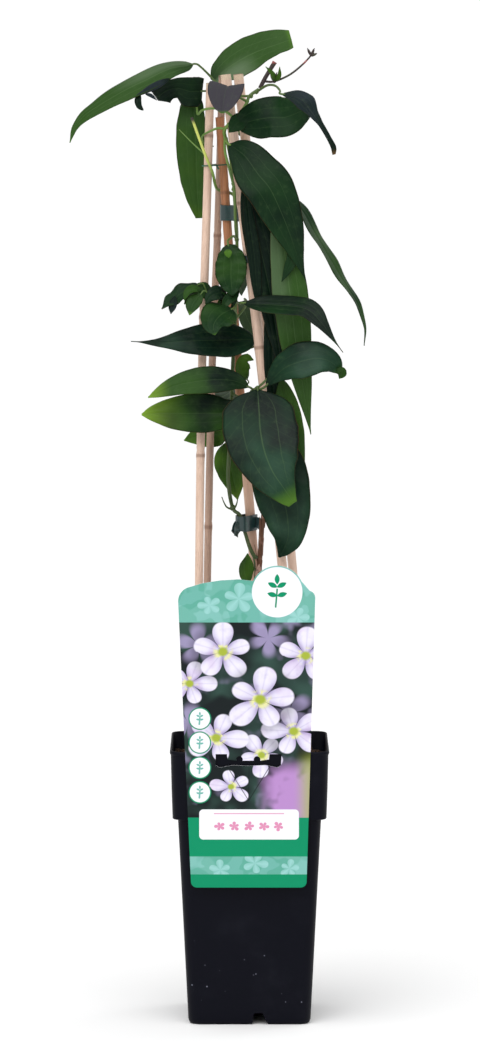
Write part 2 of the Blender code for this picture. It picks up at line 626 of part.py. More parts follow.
def slot_outline():
    """The hanging slot: a sagging bar with a raised tab at each end and two half-round holes."""
    return (
        [(-25.5, 200.5), (-25.5, 208.7), (-17, 208.7), (-16.5, 204.6), (-10.3, 203.7)]
        + arc((-7.6, 204.6), 2.5, 200, -20, 6)
        + arc((5.6, 204.6), 2.5, 200, -20, 6)
        + [(14.5, 204.6), (15, 208.7), (24, 208.7), (23.5, 200), (21, 198.5), (12, 200.3),
           (0, 199.8), (-12, 200.3), (-22.5, 198.5)]
    )


def make_label(parts, cutters, card):
    """A stiff printed tag in front of the collar, hung on the rim by a strip folded behind it."""
    front = -RIM_HALF - 0.3 - LABEL_THICKNESS / 2
    label = flat_outline("label", label_outline(), front, LABEL_THICKNESS, parts)
    label.data.materials.append(card)
    slot = flat_outline("label_slot", slot_outline(), front, LABEL_THICKNESS * 6, cutters)
    cut(label, cutters, slot)
    strip = new_collection("label_strip")
    over = RIM_HEIGHT + 0.4
    low = RIM_HEIGHT - STRIP_DROP
    behind = -RIM_HALF + POT_WALL + 0.6
    inner = behind + LABEL_THICKNESS
    profile = ((front, over), (behind, over), (behind, low), (inner, low),
               (inner, over + LABEL_THICKNESS), (front, over + LABEL_THICKNESS))
    rings = [[(x, y, z) for y, z in profile] for x in (-STRIP_HALF, STRIP_HALF)]
    loft("label_hook", rings, strip, None)
    join_all(label, strip)


def make_cane(cane, parts, bamboo):
    """A bamboo cane: a slim rod with a raised ring at each joint."""
    path = Path(cane.route)
    shares, swell = [0.0, 1.0], {0.0: 1.0, 1.0: 1.0}
    for joint in cane.joints:
        for offset, factor in ((-0.009, 1.0), (0.0, 1.1), (0.009, 1.0)):
            shares.append(joint + offset)
            swell[joint + offset] = factor
    shares.sort()
    radii = [0.001 * swell[share] * (cane.foot_radius
                                     + (cane.top_radius - cane.foot_radius) * share)
             for share in shares]
    rod = tube(cane.name, [path.at(share) for share in shares], radii, parts, 2, bamboo)
    smooth(rod)


def hull(points):
    """The convex outline of points in a plane, anticlockwise."""
    points = sorted(set(points))
    outline = []
    for sweep in (points, points[::-1]):
        chain = []
        for point in sweep:
            while len(chain) > 1 and (
                (chain[-1][0] - chain[-2][0]) * (point[1] - chain[-2][1])
                - (chain[-1][1] - chain[-2][1]) * (point[0] - chain[-2][0])
            ) <= 1e-9:
                chain.pop()
            chain.append(point)
        outline += chain[:-1]
    return outline


def wrap(circles, clearance, steps=14):
    """A loop pulled tight round several upright rods, each an (x, y, radius)."""
    points = []
    for x, y, radius in circles:
        reach = radius + clearance
        points += [(round(px, 6), round(py, 6)) for px, py in arc((x, y), reach, 0, 360, steps)]
    return hull(points)


def make_band(name, rods, low, high, parts, material):
    """A strip of tape pulled round rods that stand close together."""
    bm = bmesh.new()
    loop = wrap(rods, GAP * 1000)
    lower = [bm.verts.new(mm((x, y, low))) for x, y in loop]
    upper = [bm.verts.new(mm((x, y, high))) for x, y in loop]
    for i in range(len(loop)):
        j = (i + 1) % len(loop)
        bm.faces.new((lower[i], lower[j], upper[j], upper[i]))
    band = object_from(name, bm, parts, material)
    solid = band.modifiers.new("Thickness", "SOLIDIFY")
    solid.thickness = TAPE_THICKNESS * 0.001
    solid.offset = 1.0
    solid.use_even_offset = True


def make_wire(parts, material):
    """A plain wire round the canes, its two ends twisted together in front."""
    name = "tie_wire_top"
    loop = wrap(WIRE_RODS, 0.4 + WIRE_RADIUS)
    data = bpy.data.curves.new(name, "CURVE")
    data.dimensions = "3D"
    data.bevel_depth = WIRE_RADIUS * 0.001
    data.bevel_resolution = 1
    spline = data.splines.new("POLY")
    spline.points.add(len(loop) - 1)
    slope, middle = 0.04, -26
    for spot, (x, y) in zip(spline.points, loop):
        spot.co = (*mm((x, y, WIRE_HEIGHT + slope * (x - middle))), 1)
    spline.use_cyclic_u = True
    ring = bpy.data.objects.new(name, data)
    parts.objects.link(ring)
    ring = as_mesh(ring, material)
    ends = new_collection(f"{name}_ends")
    round_rod("wire_twist", WIRE_TWIST, WIRE_RADIUS * 1.5, ends, spacing=3)
    join_all(ring, ends)


def make_ties(parts, wire, tape):
    make_wire(parts, wire)
    for name, rods, low, high in TAPE_BANDS:
        make_band(name, rods, low, high, parts, tape)


def make_woody_stem(parts, bark):
    stem = round_rod("woody_stem", WOODY_STEM, WOODY_RADIUS, parts, spacing=12, resolution=2,
                     tip_radius=WOODY_TIP_RADIUS, material=bark)
    bud = new_collection("bud")
    round_rod("bark_bud", BARK_BUD, BARK_BUD_RADIUS, bud, spacing=4, tip_radius=0.7)
    join_all(stem, bud)
    smooth(stem)


def blade_base(item):
    """Where a blade starts, and which way it heads there."""
    path = Path(item.spine)
    return path.at(0), path.heading(0.02)


def make_stems(parts, green):
    """The green stems, the tendrils and every leaf's stalk, grown together in one piece."""
    stems = round_rod("green_stems", MAIN_STEM, STEM_RADIUS, parts, spacing=9, resolution=1,
                      tip_radius=1.3, material=green)
    shoots = new_collection("shoots")
    round_rod("side_stem", SIDE_STEM, SIDE_STEM_RADIUS, shoots, spacing=10)
    for number, (route, radius) in enumerate(zip(TENDRILS, TENDRIL_RADII)):
        round_rod(f"tendril_{number}", route, radius, shoots, tip_radius=radius * 0.6)
    for item in LEAVES:
        base, heading = blade_base(item)
        last = (base - heading * (GAP + 0.0001)) * 1000
        before = (base - heading * 0.003) * 1000
        route = [*item.stalk, tuple(before), tuple(last)]
        radius = STALK_RADIUS if item.width > SMALL_BLADE else STALK_RADIUS * 0.7
        round_rod(f"stalk_{item.name}", route, radius, shoots, tip_radius=radius * 0.7)
    join_all(stems, shoots)
    smooth(stems)


def make_top_shoot(parts, brown):
    """The cut stem end above the last leaves, and the thin shoot with its buds beside it."""
    shoot = round_rod("top_shoot", TOP_CUT_STEM, CUT_STEM_RADIUS, parts, spacing=6, resolution=1,
                      material=brown)
    pieces = new_collection("top_pieces")
    round_rod("thin_shoot", TOP_THIN_SHOOT, THIN_SHOOT_RADIUS, pieces, spacing=7, tip_radius=0.7)
    for number, route in enumerate(TOP_BUDS):
        round_rod(f"top_bud_{number}", route, TOP_BUD_RADIUS, pieces, spacing=4,
                  tip_radius=0.35)
    join_all(shoot, pieces)
    smooth(shoot)


def edge_reach(item, t, side):
    """How far an edge lies from the midrib in millimetres, at the share t of its length."""
    if item.profile:
        column = 1 if side > 0 else 2
        for before, after in zip(item.profile, item.profile[1:]):
            if t <= after[0]:
                part = (t - before[0]) / (after[0] - before[0])
                return before[column] + (after[column] - before[column]) * part
    if t < item.widest:
        reach = math.sin(math.pi / 2 * t / item.widest) ** item.base_power
    else:
        past = (t - item.widest) / (1 - item.widest)
        reach = max(0.0, math.cos(math.pi / 2 * past)) ** item.tip_power
    return max(item.width / 2 * reach, BLADE_THICKNESS)


def blade_point(item, path, u, t):
    """A point of a blade, u across it from -1 to 1 and t along it from 0 to 1."""
    heading = path.heading(t)
    face = Vector(item.face).lerp(Vector(item.face_tip), t)
    side = heading.cross(face).normalized()
    normal = side.cross(heading).normalized()
    half = edge_reach(item, t, u) * 0.001
    rise = half * (item.fold * abs(u) + item.cup * u * u)
    return path.at(t) + side * half * u + normal * rise


def blade_grid(item):
    """How many cells a blade's mesh has across and along it."""
    if item.profile:
        return (4, 16)
    return (4, 10) if item.width > SMALL_BLADE else (2, 6)


def make_blade(item, parts, material):
    """One leaf blade: a grid bent along its midrib, then thickened."""
    across, along = blade_grid(item)
    path = Path(item.spine)
    bm = bmesh.new()
    bmesh.ops.create_grid(bm, x_segments=across, y_segments=along, size=1.0)
    for vert in bm.verts:
        vert.co = blade_point(item, path, vert.co.x, (vert.co.y + 1) / 2)
    bmesh.ops.triangulate(bm, faces=bm.faces)
    blade = object_from(item.name, bm, parts, material)
    solid = blade.modifiers.new("Thickness", "SOLIDIFY")
    solid.thickness = BLADE_THICKNESS * 0.001
    solid.offset = 0.0
    blade.data.shade_smooth()


def main():
    clear_scene()
    parts = new_collection(PLANT)
    cutters = new_collection("cutters")
    plastic = finish("pot_plastic", (0.012, 0.014, 0.018), 0.42)
    earth = finish("soil", (0.045, 0.028, 0.018), 0.95)
    card = finish("label_card", (0.35, 0.62, 0.5), 0.3)
    bamboo = finish("bamboo", (0.62, 0.42, 0.29), 0.5)
    wire = finish("tie_wire", (0.02, 0.2, 0.13), 0.35)
    tape = finish("tie_tape", (0.02, 0.08, 0.075), 0.3)
    bark = finish("bark", (0.2, 0.12, 0.08), 0.85)
    green = finish("green_stem", (0.12, 0.24, 0.05), 0.5)
    brown = finish("brown_shoot", (0.08, 0.04, 0.03), 0.6)
    glossy = finish("leaf", (0.02, 0.075, 0.025), 0.32)
    young = finish("young_leaf", (0.16, 0.3, 0.03), 0.4)

    make_pot(parts, cutters, plastic)
    make_soil(parts, cutters, earth)
    make_label(parts, cutters, card)
    for cane in CANES:
        make_cane(cane, parts, bamboo)
    make_ties(parts, wire, tape)
    make_woody_stem(parts, bark)
    make_stems(parts, green)
    make_top_shoot(parts, brown)
    for item in LEAVES:
        pale = item.name in ("leaf_small_yellow", "leaf_low_yellow", "leaf_bottom_rolled")
        make_blade(item, parts, young if pale else glossy)


main()
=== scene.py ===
"""Dresses the packed clematis: leaves, stems, canes, ties, bark, label, soil and pot.

Positions are in millimetres, in the packed model's own axes. mm() turns them into metres.
"""

import math
import random
from collections import namedtuple

import bmesh
import bpy
from bpy.props import FloatProperty, FloatVectorProperty, IntProperty, PointerProperty
from mathutils import Matrix, Vector, noise


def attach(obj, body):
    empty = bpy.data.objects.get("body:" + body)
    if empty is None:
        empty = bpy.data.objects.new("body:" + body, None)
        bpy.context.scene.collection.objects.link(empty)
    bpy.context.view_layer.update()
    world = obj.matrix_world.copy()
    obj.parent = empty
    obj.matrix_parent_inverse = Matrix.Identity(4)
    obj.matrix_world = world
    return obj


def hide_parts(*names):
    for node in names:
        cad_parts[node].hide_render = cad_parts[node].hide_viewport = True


bl_info = {
    "name": "Potted Clematis",
    "version": (1, 0, 0),
    "blender": (4, 5, 0),
    "location": "View3D > Sidebar > Clematis",
    "description": "Builds an evergreen clematis on bamboo canes around its packed model",
    "category": "Add Mesh",
}

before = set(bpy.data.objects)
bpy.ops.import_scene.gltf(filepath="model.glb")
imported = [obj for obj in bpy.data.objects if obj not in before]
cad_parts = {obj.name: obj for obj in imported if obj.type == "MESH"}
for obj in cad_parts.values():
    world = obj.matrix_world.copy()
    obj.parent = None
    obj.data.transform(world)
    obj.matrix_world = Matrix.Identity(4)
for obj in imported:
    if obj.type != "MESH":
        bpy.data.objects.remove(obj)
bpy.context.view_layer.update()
BODY = "root"
MM = 0.001

# Blades: their folds and grooves, a wide one's width in mm, the looks with a painted milky sheen,
# and those with a painted highlight
KEEL = 0.09
SIDE_RIB = 0.46
GROOVE_WIDTH = 0.06
NARROWEST_REACH = 0.35
WIDE_BLADE = 16
PAINTED_SHEEN_LOOKS = {"band": 0.8, "pale": 0.5}
PAINTED_HIGHLIGHT_LOOKS = ("purple", "teal")


def mm(point):
    """A point written in millimetres, as a vector in metres."""
    return Vector(point) * MM


def paint(red, green, blue):
    """A screen colour, 0 to 255 a channel, as the linear colour that a shader takes."""
    linear = []
    for level in (red, green, blue):
        share = level / 255
        linear.append(share / 12.92 if share <= 0.04045 else ((share + 0.055) / 1.055) ** 2.4)
    return tuple(linear)


def size(name, description, default, low=0.0):
    """A length that a user may change."""
    return FloatProperty(name=name, description=description, default=default, min=low,
                         unit="LENGTH", precision=5)


def colour(name, description, default):
    """A colour that a user may change, its default given as a screen colour."""
    return FloatVectorProperty(name=name, description=description, default=paint(*default),
                               subtype="COLOR", size=3, min=0.0, max=1.0)


def share(name, description, default):
    """A plain factor that a user may change."""
    return FloatProperty(name=name, description=description, default=default, min=0.0)


# Leaves: the midrib, the full width and the stalk of each, as in the packed model, and its looks
Leaf = namedtuple(
    "Leaf",
    "name spine width stalk face face_tip widest base_power tip_power fold cup profile"
    " look tip wave waves",
)


def leaf(name, spine, width, stalk=(), face=(0, -1, 0.2), face_tip=None, widest=0.4,
         base_power=0.6, tip_power=0.9, fold=0.0, cup=0.0, profile=(), look="dark",
         tip=(0.96, 1.05), wave=0.6, waves=2.5):
    """One blade: its midrib from base to tip, its stalk, how it turns, its colouring and ripple.

    A torn or lopsided blade has a profile: how far each edge is from the midrib, by its length.
    """
    return Leaf(name, spine, width, stalk, face, face_tip or face, widest, base_power,
                tip_power, fold, cup, profile, look, tip, wave, waves)


LEAVES = (
    leaf("leaf_top_left_long",
         ((-43, -3, 723.5), (-60, -8, 720.5), (-82, -14, 710), (-105, -18, 698),
          (-122, -18, 687), (-131, -15, 677), (-135, -12, 665)),
         width=21.5, stalk=((1, -14, 700), (-7, -7, 700), (-14, -3, 702), (-22, 0.5, 706),
                            (-29, 2, 714), (-36, 0, 721)),
         face=(-0.15, -0.68, 0.7), widest=0.35, base_power=0.35, fold=-0.2, look="pale",
         wave=0.3, waves=3.5),
    leaf("leaf_top_left_dark",
         ((-35.5, 3, 703.5), (-45, 1, 703.5), (-54, -2, 705.5), (-63, -4, 703.5),
          (-70, -5, 698)),
         width=24, stalk=((-24, 0.8, 707.5), (-27, 2.3, 706.5), (-30, 3, 704.5)),
         face=(0, -0.85, -0.45),
         profile=((0, 11.5, 9.5), (0.08, 12.8, 12.5), (0.3, 12.8, 12.8), (0.42, 11.5, 8.5),
                  (0.62, 9, 8), (0.8, 8, 10.5), (0.9, 8.5, 7), (1, 8, 2)),
         look="dark", wave=0.5, waves=1.5),
    leaf("leaf_left_hanging",
         ((-42, 17, 701), (-41, 14, 674), (-40, 12, 651), (-39.5, 11, 629), (-38.5, 11, 607.5)),
         width=27, stalk=((-11, -21, 683), (-17, -20, 688), (-24, -14, 690.5), (-31, -12, 690.5),
                          (-36, -8, 689), (-38.5, 2, 686), (-39.5, 10, 687.5),
                          (-40, 13.5, 694.5), (-40.5, 14.5, 702), (-41.5, 17.5, 707)),
         face=(-0.15, -0.95, 0.1),
         profile=((0, 5, 4), (0.08, 10.5, 7), (0.25, 14.5, 8.5), (0.5, 15, 9), (0.7, 12.5, 8),
                  (0.85, 8.5, 6.5), (0.95, 4.5, 4.5), (1, 2, 3)),
         look="olive", wave=0.4, waves=2),
    leaf("leaf_top_right_big",
         ((-27, 24, 710), (-20, 24, 718), (-8, 24, 726), (5, 24, 732.5), (18, 23, 737.5),
          (31.5, 21, 742.5)),
         width=31, stalk=((-10, -5, 701), (-13, 1, 700), (-14.5, 8, 700), (-18, 17, 700),
                          (-25, 22, 702)),
         face=(0.1, -0.78, 0.62),
         profile=((0, 3.5, 3.5), (0.12, 9.5, 9.5), (0.3, 14.5, 14.5), (0.5, 15.5, 16.5),
                  (0.68, 12.5, 15), (0.85, 9.5, 12.5), (0.96, 9.5, 9.5), (1, 8.5, 8)),
         look="band", wave=0.5, waves=1.5),
    leaf("leaf_top_heart",
         ((-15, -20, 703), (-16, -32, 707.5), (-17.5, -44, 705.5), (-19, -53, 699),
          (-20.5, -60, 688)),
         width=27, stalk=((-2, -15.5, 696), (-8, -17.5, 699)),
         face=(0, -0.25, 0.97), face_tip=(0, -0.9, 0.4), widest=0.55, base_power=0.5,
         tip_power=0.5, fold=0.14, look="grey", tip=(0.9, 1.0), wave=0.2),
    leaf("leaf_right_wide",
         ((-9, -26, 677), (-1, -29, 681), (13, -33, 684), (26, -37, 684.5), (38, -41, 689),
          (47, -44, 694)),
         width=33, stalk=((-15, -20.5, 679), (-12, -24, 677)),
         face=(0.15, -0.93, 0.3), widest=0.45, base_power=0.5, tip_power=0.6, look="dark",
         wave=0.8, waves=2),
    leaf("leaf_right_tail",
         ((25, -56.5, 702), (34.5, -60, 700), (42, -63, 694.7), (48, -65, 686.5),
          (53, -65.5, 679), (58.3, -65, 670), (62, -63.5, 662.6), (62.5, -62, 657.5)),
         width=19, stalk=((5, -13, 703), (13, -22, 708), (19, -38, 708), (22.5, -50, 704.5)),
         face=(0.35, -0.75, 0.55),
         profile=((0, 1.5, 1.5), (0.16, 7, 7), (0.3, 9.5, 9.5), (0.45, 5, 5), (0.6, 2.6, 2.6),
                  (0.78, 2.3, 2.3), (0.92, 2.7, 2.7), (1, 1.4, 1.4)),
         look="navy", wave=0.3, waves=1.5),
    leaf("leaf_centre_right",
         ((-15, -24, 664), (-3.5, -34, 655.5), (6.5, -40, 642), (15.5, -44, 631),
          (24, -46, 613), (30, -45, 598), (34.5, -42, 584.5), (42, -38, 562.5)),
         width=36, stalk=((-18, -11, 668), (-18, -18, 668)),
         face=(-0.05, -0.97, 0.2), widest=0.35, tip_power=1.25, look="dark", wave=0.9, waves=3),
    leaf("leaf_far_right",
         ((8, -5, 642), (23, -7, 631), (38, -8, 616), (52.5, -10, 591), (64.5, -11, 570.5),
          (74.5, -11, 555), (82, -10, 542), (87, -8, 527), (86.5, -6, 512)),
         width=15, stalk=((-12.5, -7, 640), (-5, -6, 643), (2, -5, 644)),
         face=(0.55, -0.45, 0.7), widest=0.45, tip_power=0.9, look="mid", wave=0.8, waves=4),
    leaf("leaf_long_green",
         ((20, -31, 617), (26, -33, 584), (31, -35, 547), (35, -36, 513), (40, -36, 483),
          (46, -33, 447)),
         width=27, stalk=((-12, -7, 630), (-3, -10, 632), (6, -16, 632), (14, -26, 627)),
         face=(0.1, -0.98, 0.15), widest=0.4, tip_power=1.1, look="pale", wave=0.8, waves=4),
    leaf("leaf_long_dark",
         ((-1, -26, 637), (3, -27, 610.5), (8.5, -27, 585), (15.5, -28, 552.5), (21, -28, 517),
          (25, -29, 491)),
         width=23, stalk=((-12, -7, 634), (-4, -10, 638), (-1, -17, 642)),
         face=(0.1, -0.98, 0.1), widest=0.4, base_power=0.35, look="shade", wave=0.6, waves=3),
    leaf("leaf_small_dark",
         ((29, -38.5, 594), (32, -39, 581), (28, -38.5, 570), (24, -38.5, 562)),
         width=9, stalk=((14, -26, 627), (20, -36, 619), (26, -39, 606)),
         face=(0.1, -0.98, 0.15), widest=0.4, look="dark", wave=0.3),
    leaf("leaf_crinkled",
         ((-16, -22, 589), (-14, -26, 578), (-14, -28, 565), (-13, -30, 551)),
         width=24, stalk=((-9.5, -8, 592), (-12, -14, 595), (-15, -19, 593)),
         face=(0, -1, 0.1), widest=0.5, base_power=0.45, tip_power=0.7, look="mid",
         wave=2.0, waves=5.5),
    leaf("leaf_small_curled",
         ((-38, -26, 559), (-47, -28, 555.5), (-57, -30, 549), (-66, -31, 541)),
         width=16, stalk=((-10.5, -9, 556), (-18, -14, 551), (-26, -20, 550), (-31, -24, 551.5)),
         face=(-0.3, -0.7, 0.6), widest=0.45, look="plum", wave=1.4, waves=2.5),
    leaf("leaf_small_left",
         ((-36, -35.5, 553), (-42, -39, 546), (-45, -41, 537)),
         width=12, stalk=((-30, -24, 551), (-31, -31, 552.5)),
         face=(-0.2, -0.9, 0.3), widest=0.45, look="mid", tip=(0.8, 1.0), wave=0.5),
    leaf("leaf_triangle",
         ((-13, -30, 541), (-22, -40, 537), (-27, -48, 530), (-26, -53, 523)),
         width=28, stalk=((-10.8, -9.5, 536), (-11, -18, 539), (-11.5, -25, 541)),
         face=(0, -0.8, 0.6), widest=0.4, tip_power=0.8, look="mid", tip=(0.88, 1.0), wave=0.8),
    leaf("leaf_tiny_upright",
         ((-19, -20, 537), (-20, -21, 545), (-17, -21, 552)),
         width=9, stalk=((-11.5, -10, 533), (-17, -16, 531)),
         face=(0.2, -1, 0), widest=0.45, look="olive", wave=0.4),
    leaf("leaf_left_high",
         ((4, -13, 517), (-8, -20, 517.5), (-30, -28, 517.5), (-48, -32, 517),
          (-69, -34, 516), (-89, -34, 517)),
         width=28, stalk=((-11, -9.5, 512), (-4, -9.5, 510), (4, -10, 512)),
         face=(0, -0.93, 0.35), widest=0.28, tip_power=1.7, look="teal", wave=0.7, waves=3),
    leaf("leaf_left_middle",
         ((-1, -36, 483), (-11, -38, 487.5), (-23, -41, 488.5), (-40, -44, 487.5),
          (-57, -45, 484), (-76, -44, 475.5)),
         width=22, stalk=((2, -31, 479),),
         face=(0, -0.9, 0.45), widest=0.4, tip_power=0.8, look="dusk", tip=(0.8, 1.1),
         wave=0.5, waves=2),
    leaf("leaf_left_low",
         ((-4, -29, 470), (-17, -31, 463.5), (-34, -33, 463), (-52, -35, 463), (-68, -35, 463),
          (-81, -34, 462)),
         width=30, stalk=((-3, -23, 475.5),),
         face=(0, -0.97, 0.2), widest=0.45, tip_power=0.75, look="dusk", tip=(0.55, 1.15),
         wave=0.6, waves=2),
    leaf("leaf_front_big",
         ((6, -38, 481), (7, -50, 467), (8, -58, 452), (11, -63, 437), (17, -66, 422),
          (25, -66, 410), (33, -63, 398)),
         width=55, stalk=((-13, -9.5, 476), (-8, -15, 474), (-2, -24, 476), (2, -31, 479)),
         face=(0, -0.9, 0.45), face_tip=(0, -1, 0.1),
         profile=((0, 0.7, 0.7), (0.06, 15, 12.5), (0.12, 22, 20.5), (0.2, 27.5, 26),
                  (0.38, 28.5, 28.5), (0.53, 25.5, 27), (0.7, 18.5, 21.5), (0.85, 12.5, 10.5),
                  (0.95, 8, 5), (1, 4.5, 2.5)),
         look="purple", tip=(0.89, 1.04), wave=0.7, waves=2),
    leaf("leaf_front_low",
         ((18, -40, 447), (21, -46, 428), (24, -49, 406), (28, -48, 388), (29, -45, 372),
          (26, -42, 362), (22, -40, 355)),
         width=43, stalk=((-14, -9, 450), (-6, -16, 448), (4, -28, 449), (12, -36, 450)),
         face=(0.05, -0.98, 0.15), widest=0.35, base_power=0.5, tip_power=0.75, look="teal",
         wave=1.0, waves=2.5),
    leaf("leaf_right_behind",
         ((24, -36, 489), (28, -37, 466), (31, -35.5, 440), (35, -34, 418), (36, -33, 402)),
         width=22, stalk=((4, -34, 480.5), (9, -38, 485), (18, -37.5, 493)),
         face=(0.1, -0.98, 0.1), widest=0.45, look="olive", wave=0.6),
    leaf("leaf_right_middle",
         ((13, -41.5, 485), (25, -48, 497), (37.5, -53, 503), (51, -55, 505.5),
          (61, -53.5, 502.5), (68, -50, 495)),
         width=30, stalk=((3, -33, 480), (7, -37, 481)),
         face=(-0.1, -0.9, 0.4),
         profile=((0, 1.5, 1.5), (0.12, 5, 6.5), (0.26, 9.5, 12), (0.48, 14.5, 15),
                  (0.68, 13, 13.5), (0.84, 8.5, 8.5), (0.94, 5, 5), (1, 2, 2)),
         look="teal", tip=(0.94, 1.04), wave=0.8, waves=2.5),
    leaf("leaf_right_high",
         ((-4, -38, 546), (9, -44, 545.5), (31, -49, 544), (44, -54, 541.5), (53.5, -59, 532),
          (62, -62, 520.5), (69.5, -63, 510.5)),
         width=23, stalk=((-10.3, -9, 545), (-8, -20, 545), (-7, -31, 545)),
         face=(0, -0.62, 0.78), widest=0.38, tip_power=1.8, look="plum", wave=0.5, waves=2),
    leaf("leaf_small_yellow",
         ((-2, -14, 487), (-6, -17, 495), (-3, -20, 503), (3, -19, 502)),
         width=12, stalk=((-12.8, -9.5, 484), (-6, -11, 483)),
         face=(0.3, -0.9, 0.3), widest=0.45, cup=0.4, look="olive", wave=0.5),
    leaf("leaf_low_yellow",
         ((-16, 2, 439), (-15, 6, 424), (-12, 8, 409), (-9, 8, 394)),
         width=24, stalk=((-15, -9, 442), (-17, -4, 443)),
         face=(0, -1, 0.1), widest=0.35, look="fresh", tip=(0.7, 1.2), wave=0.5),
    leaf("leaf_behind_left",
         ((-15, 23, 443), (-24, 31, 442), (-36, 35, 441), (-50, 35, 437)),
         width=20, stalk=((-14.5, -9, 447), (-17, -2, 447), (-15, 10, 446)),
         face=(0, -1, 0.1), widest=0.45, look="fresh", wave=0.9, waves=3),
    leaf("leaf_bottom_rolled",
         ((-1, -16, 333), (-4, -19, 344), (-1.5, -21, 356)),
         width=14, stalk=((2.5, -11, 354.5), (4, -13, 346), (4, -13, 337), (2.5, -14.3, 331)),
         face=(0.5, -0.8, 0), widest=0.5, cup=0.4, look="fresh", wave=0.3),
    leaf("leaf_back_top",
         ((-9, 16, 672), (4, 27, 679), (22, 34, 684), (36, 37, 680)),
         width=24, stalk=((-13, -7, 645), (-11, 0, 655), (-10.5, 9, 667)),
         face=(0.2, 0.8, 0.55), widest=0.4, look="mid"),
    leaf("leaf_back_upper",
         ((-9, 16, 631), (-1, 28, 627), (13, 38, 612), (22, 43, 590)),
         width=26, stalk=((-11.3, -7, 628), (-10, 2, 633), (-10, 9, 634)),
         face=(0.3, 0.85, 0.4), widest=0.4, look="dark"),
    leaf("leaf_back_away",
         ((-11, 16, 573), (-10, 34, 574), (-8, 54, 564), (-6, 70, 546)),
         width=26, stalk=((-9.7, -8, 582), (-6, 0, 580), (-10, 9, 574)),
         face=(0, 0.2, 0.97), face_tip=(0, 0.8, 0.55), widest=0.4, fold=0.15, look="dark"),
    leaf("leaf_back_right",
         ((-3, 15, 545), (2, 30, 536), (13, 41, 512), (20, 46, 486)),
         width=27, stalk=((-11, -9.5, 532), (-4, -1, 540), (-2.5, 8, 545)),
         face=(0.25, 0.9, 0.3), widest=0.4, look="mid"),
    leaf("leaf_back_left",
         ((-13, 16, 478), (-21, 35, 471), (-38, 46, 465), (-56, 51, 460)),
         width=24, stalk=((-13, -9.5, 488), (-15, -2, 486), (-13, 8, 481)),
         face=(-0.3, 0.85, 0.4), widest=0.4, look="dark", tip=(0.7, 1.05)),
    leaf("leaf_back_low",
         ((-4, 15, 441), (-1, 30, 430), (6, 42, 408), (10, 47, 386)),
         width=26, stalk=((-14, -9, 458), (-10, 2, 455), (-5, 9, 447)),
         face=(0.2, 0.9, 0.35), widest=0.4, look="mid"),
)
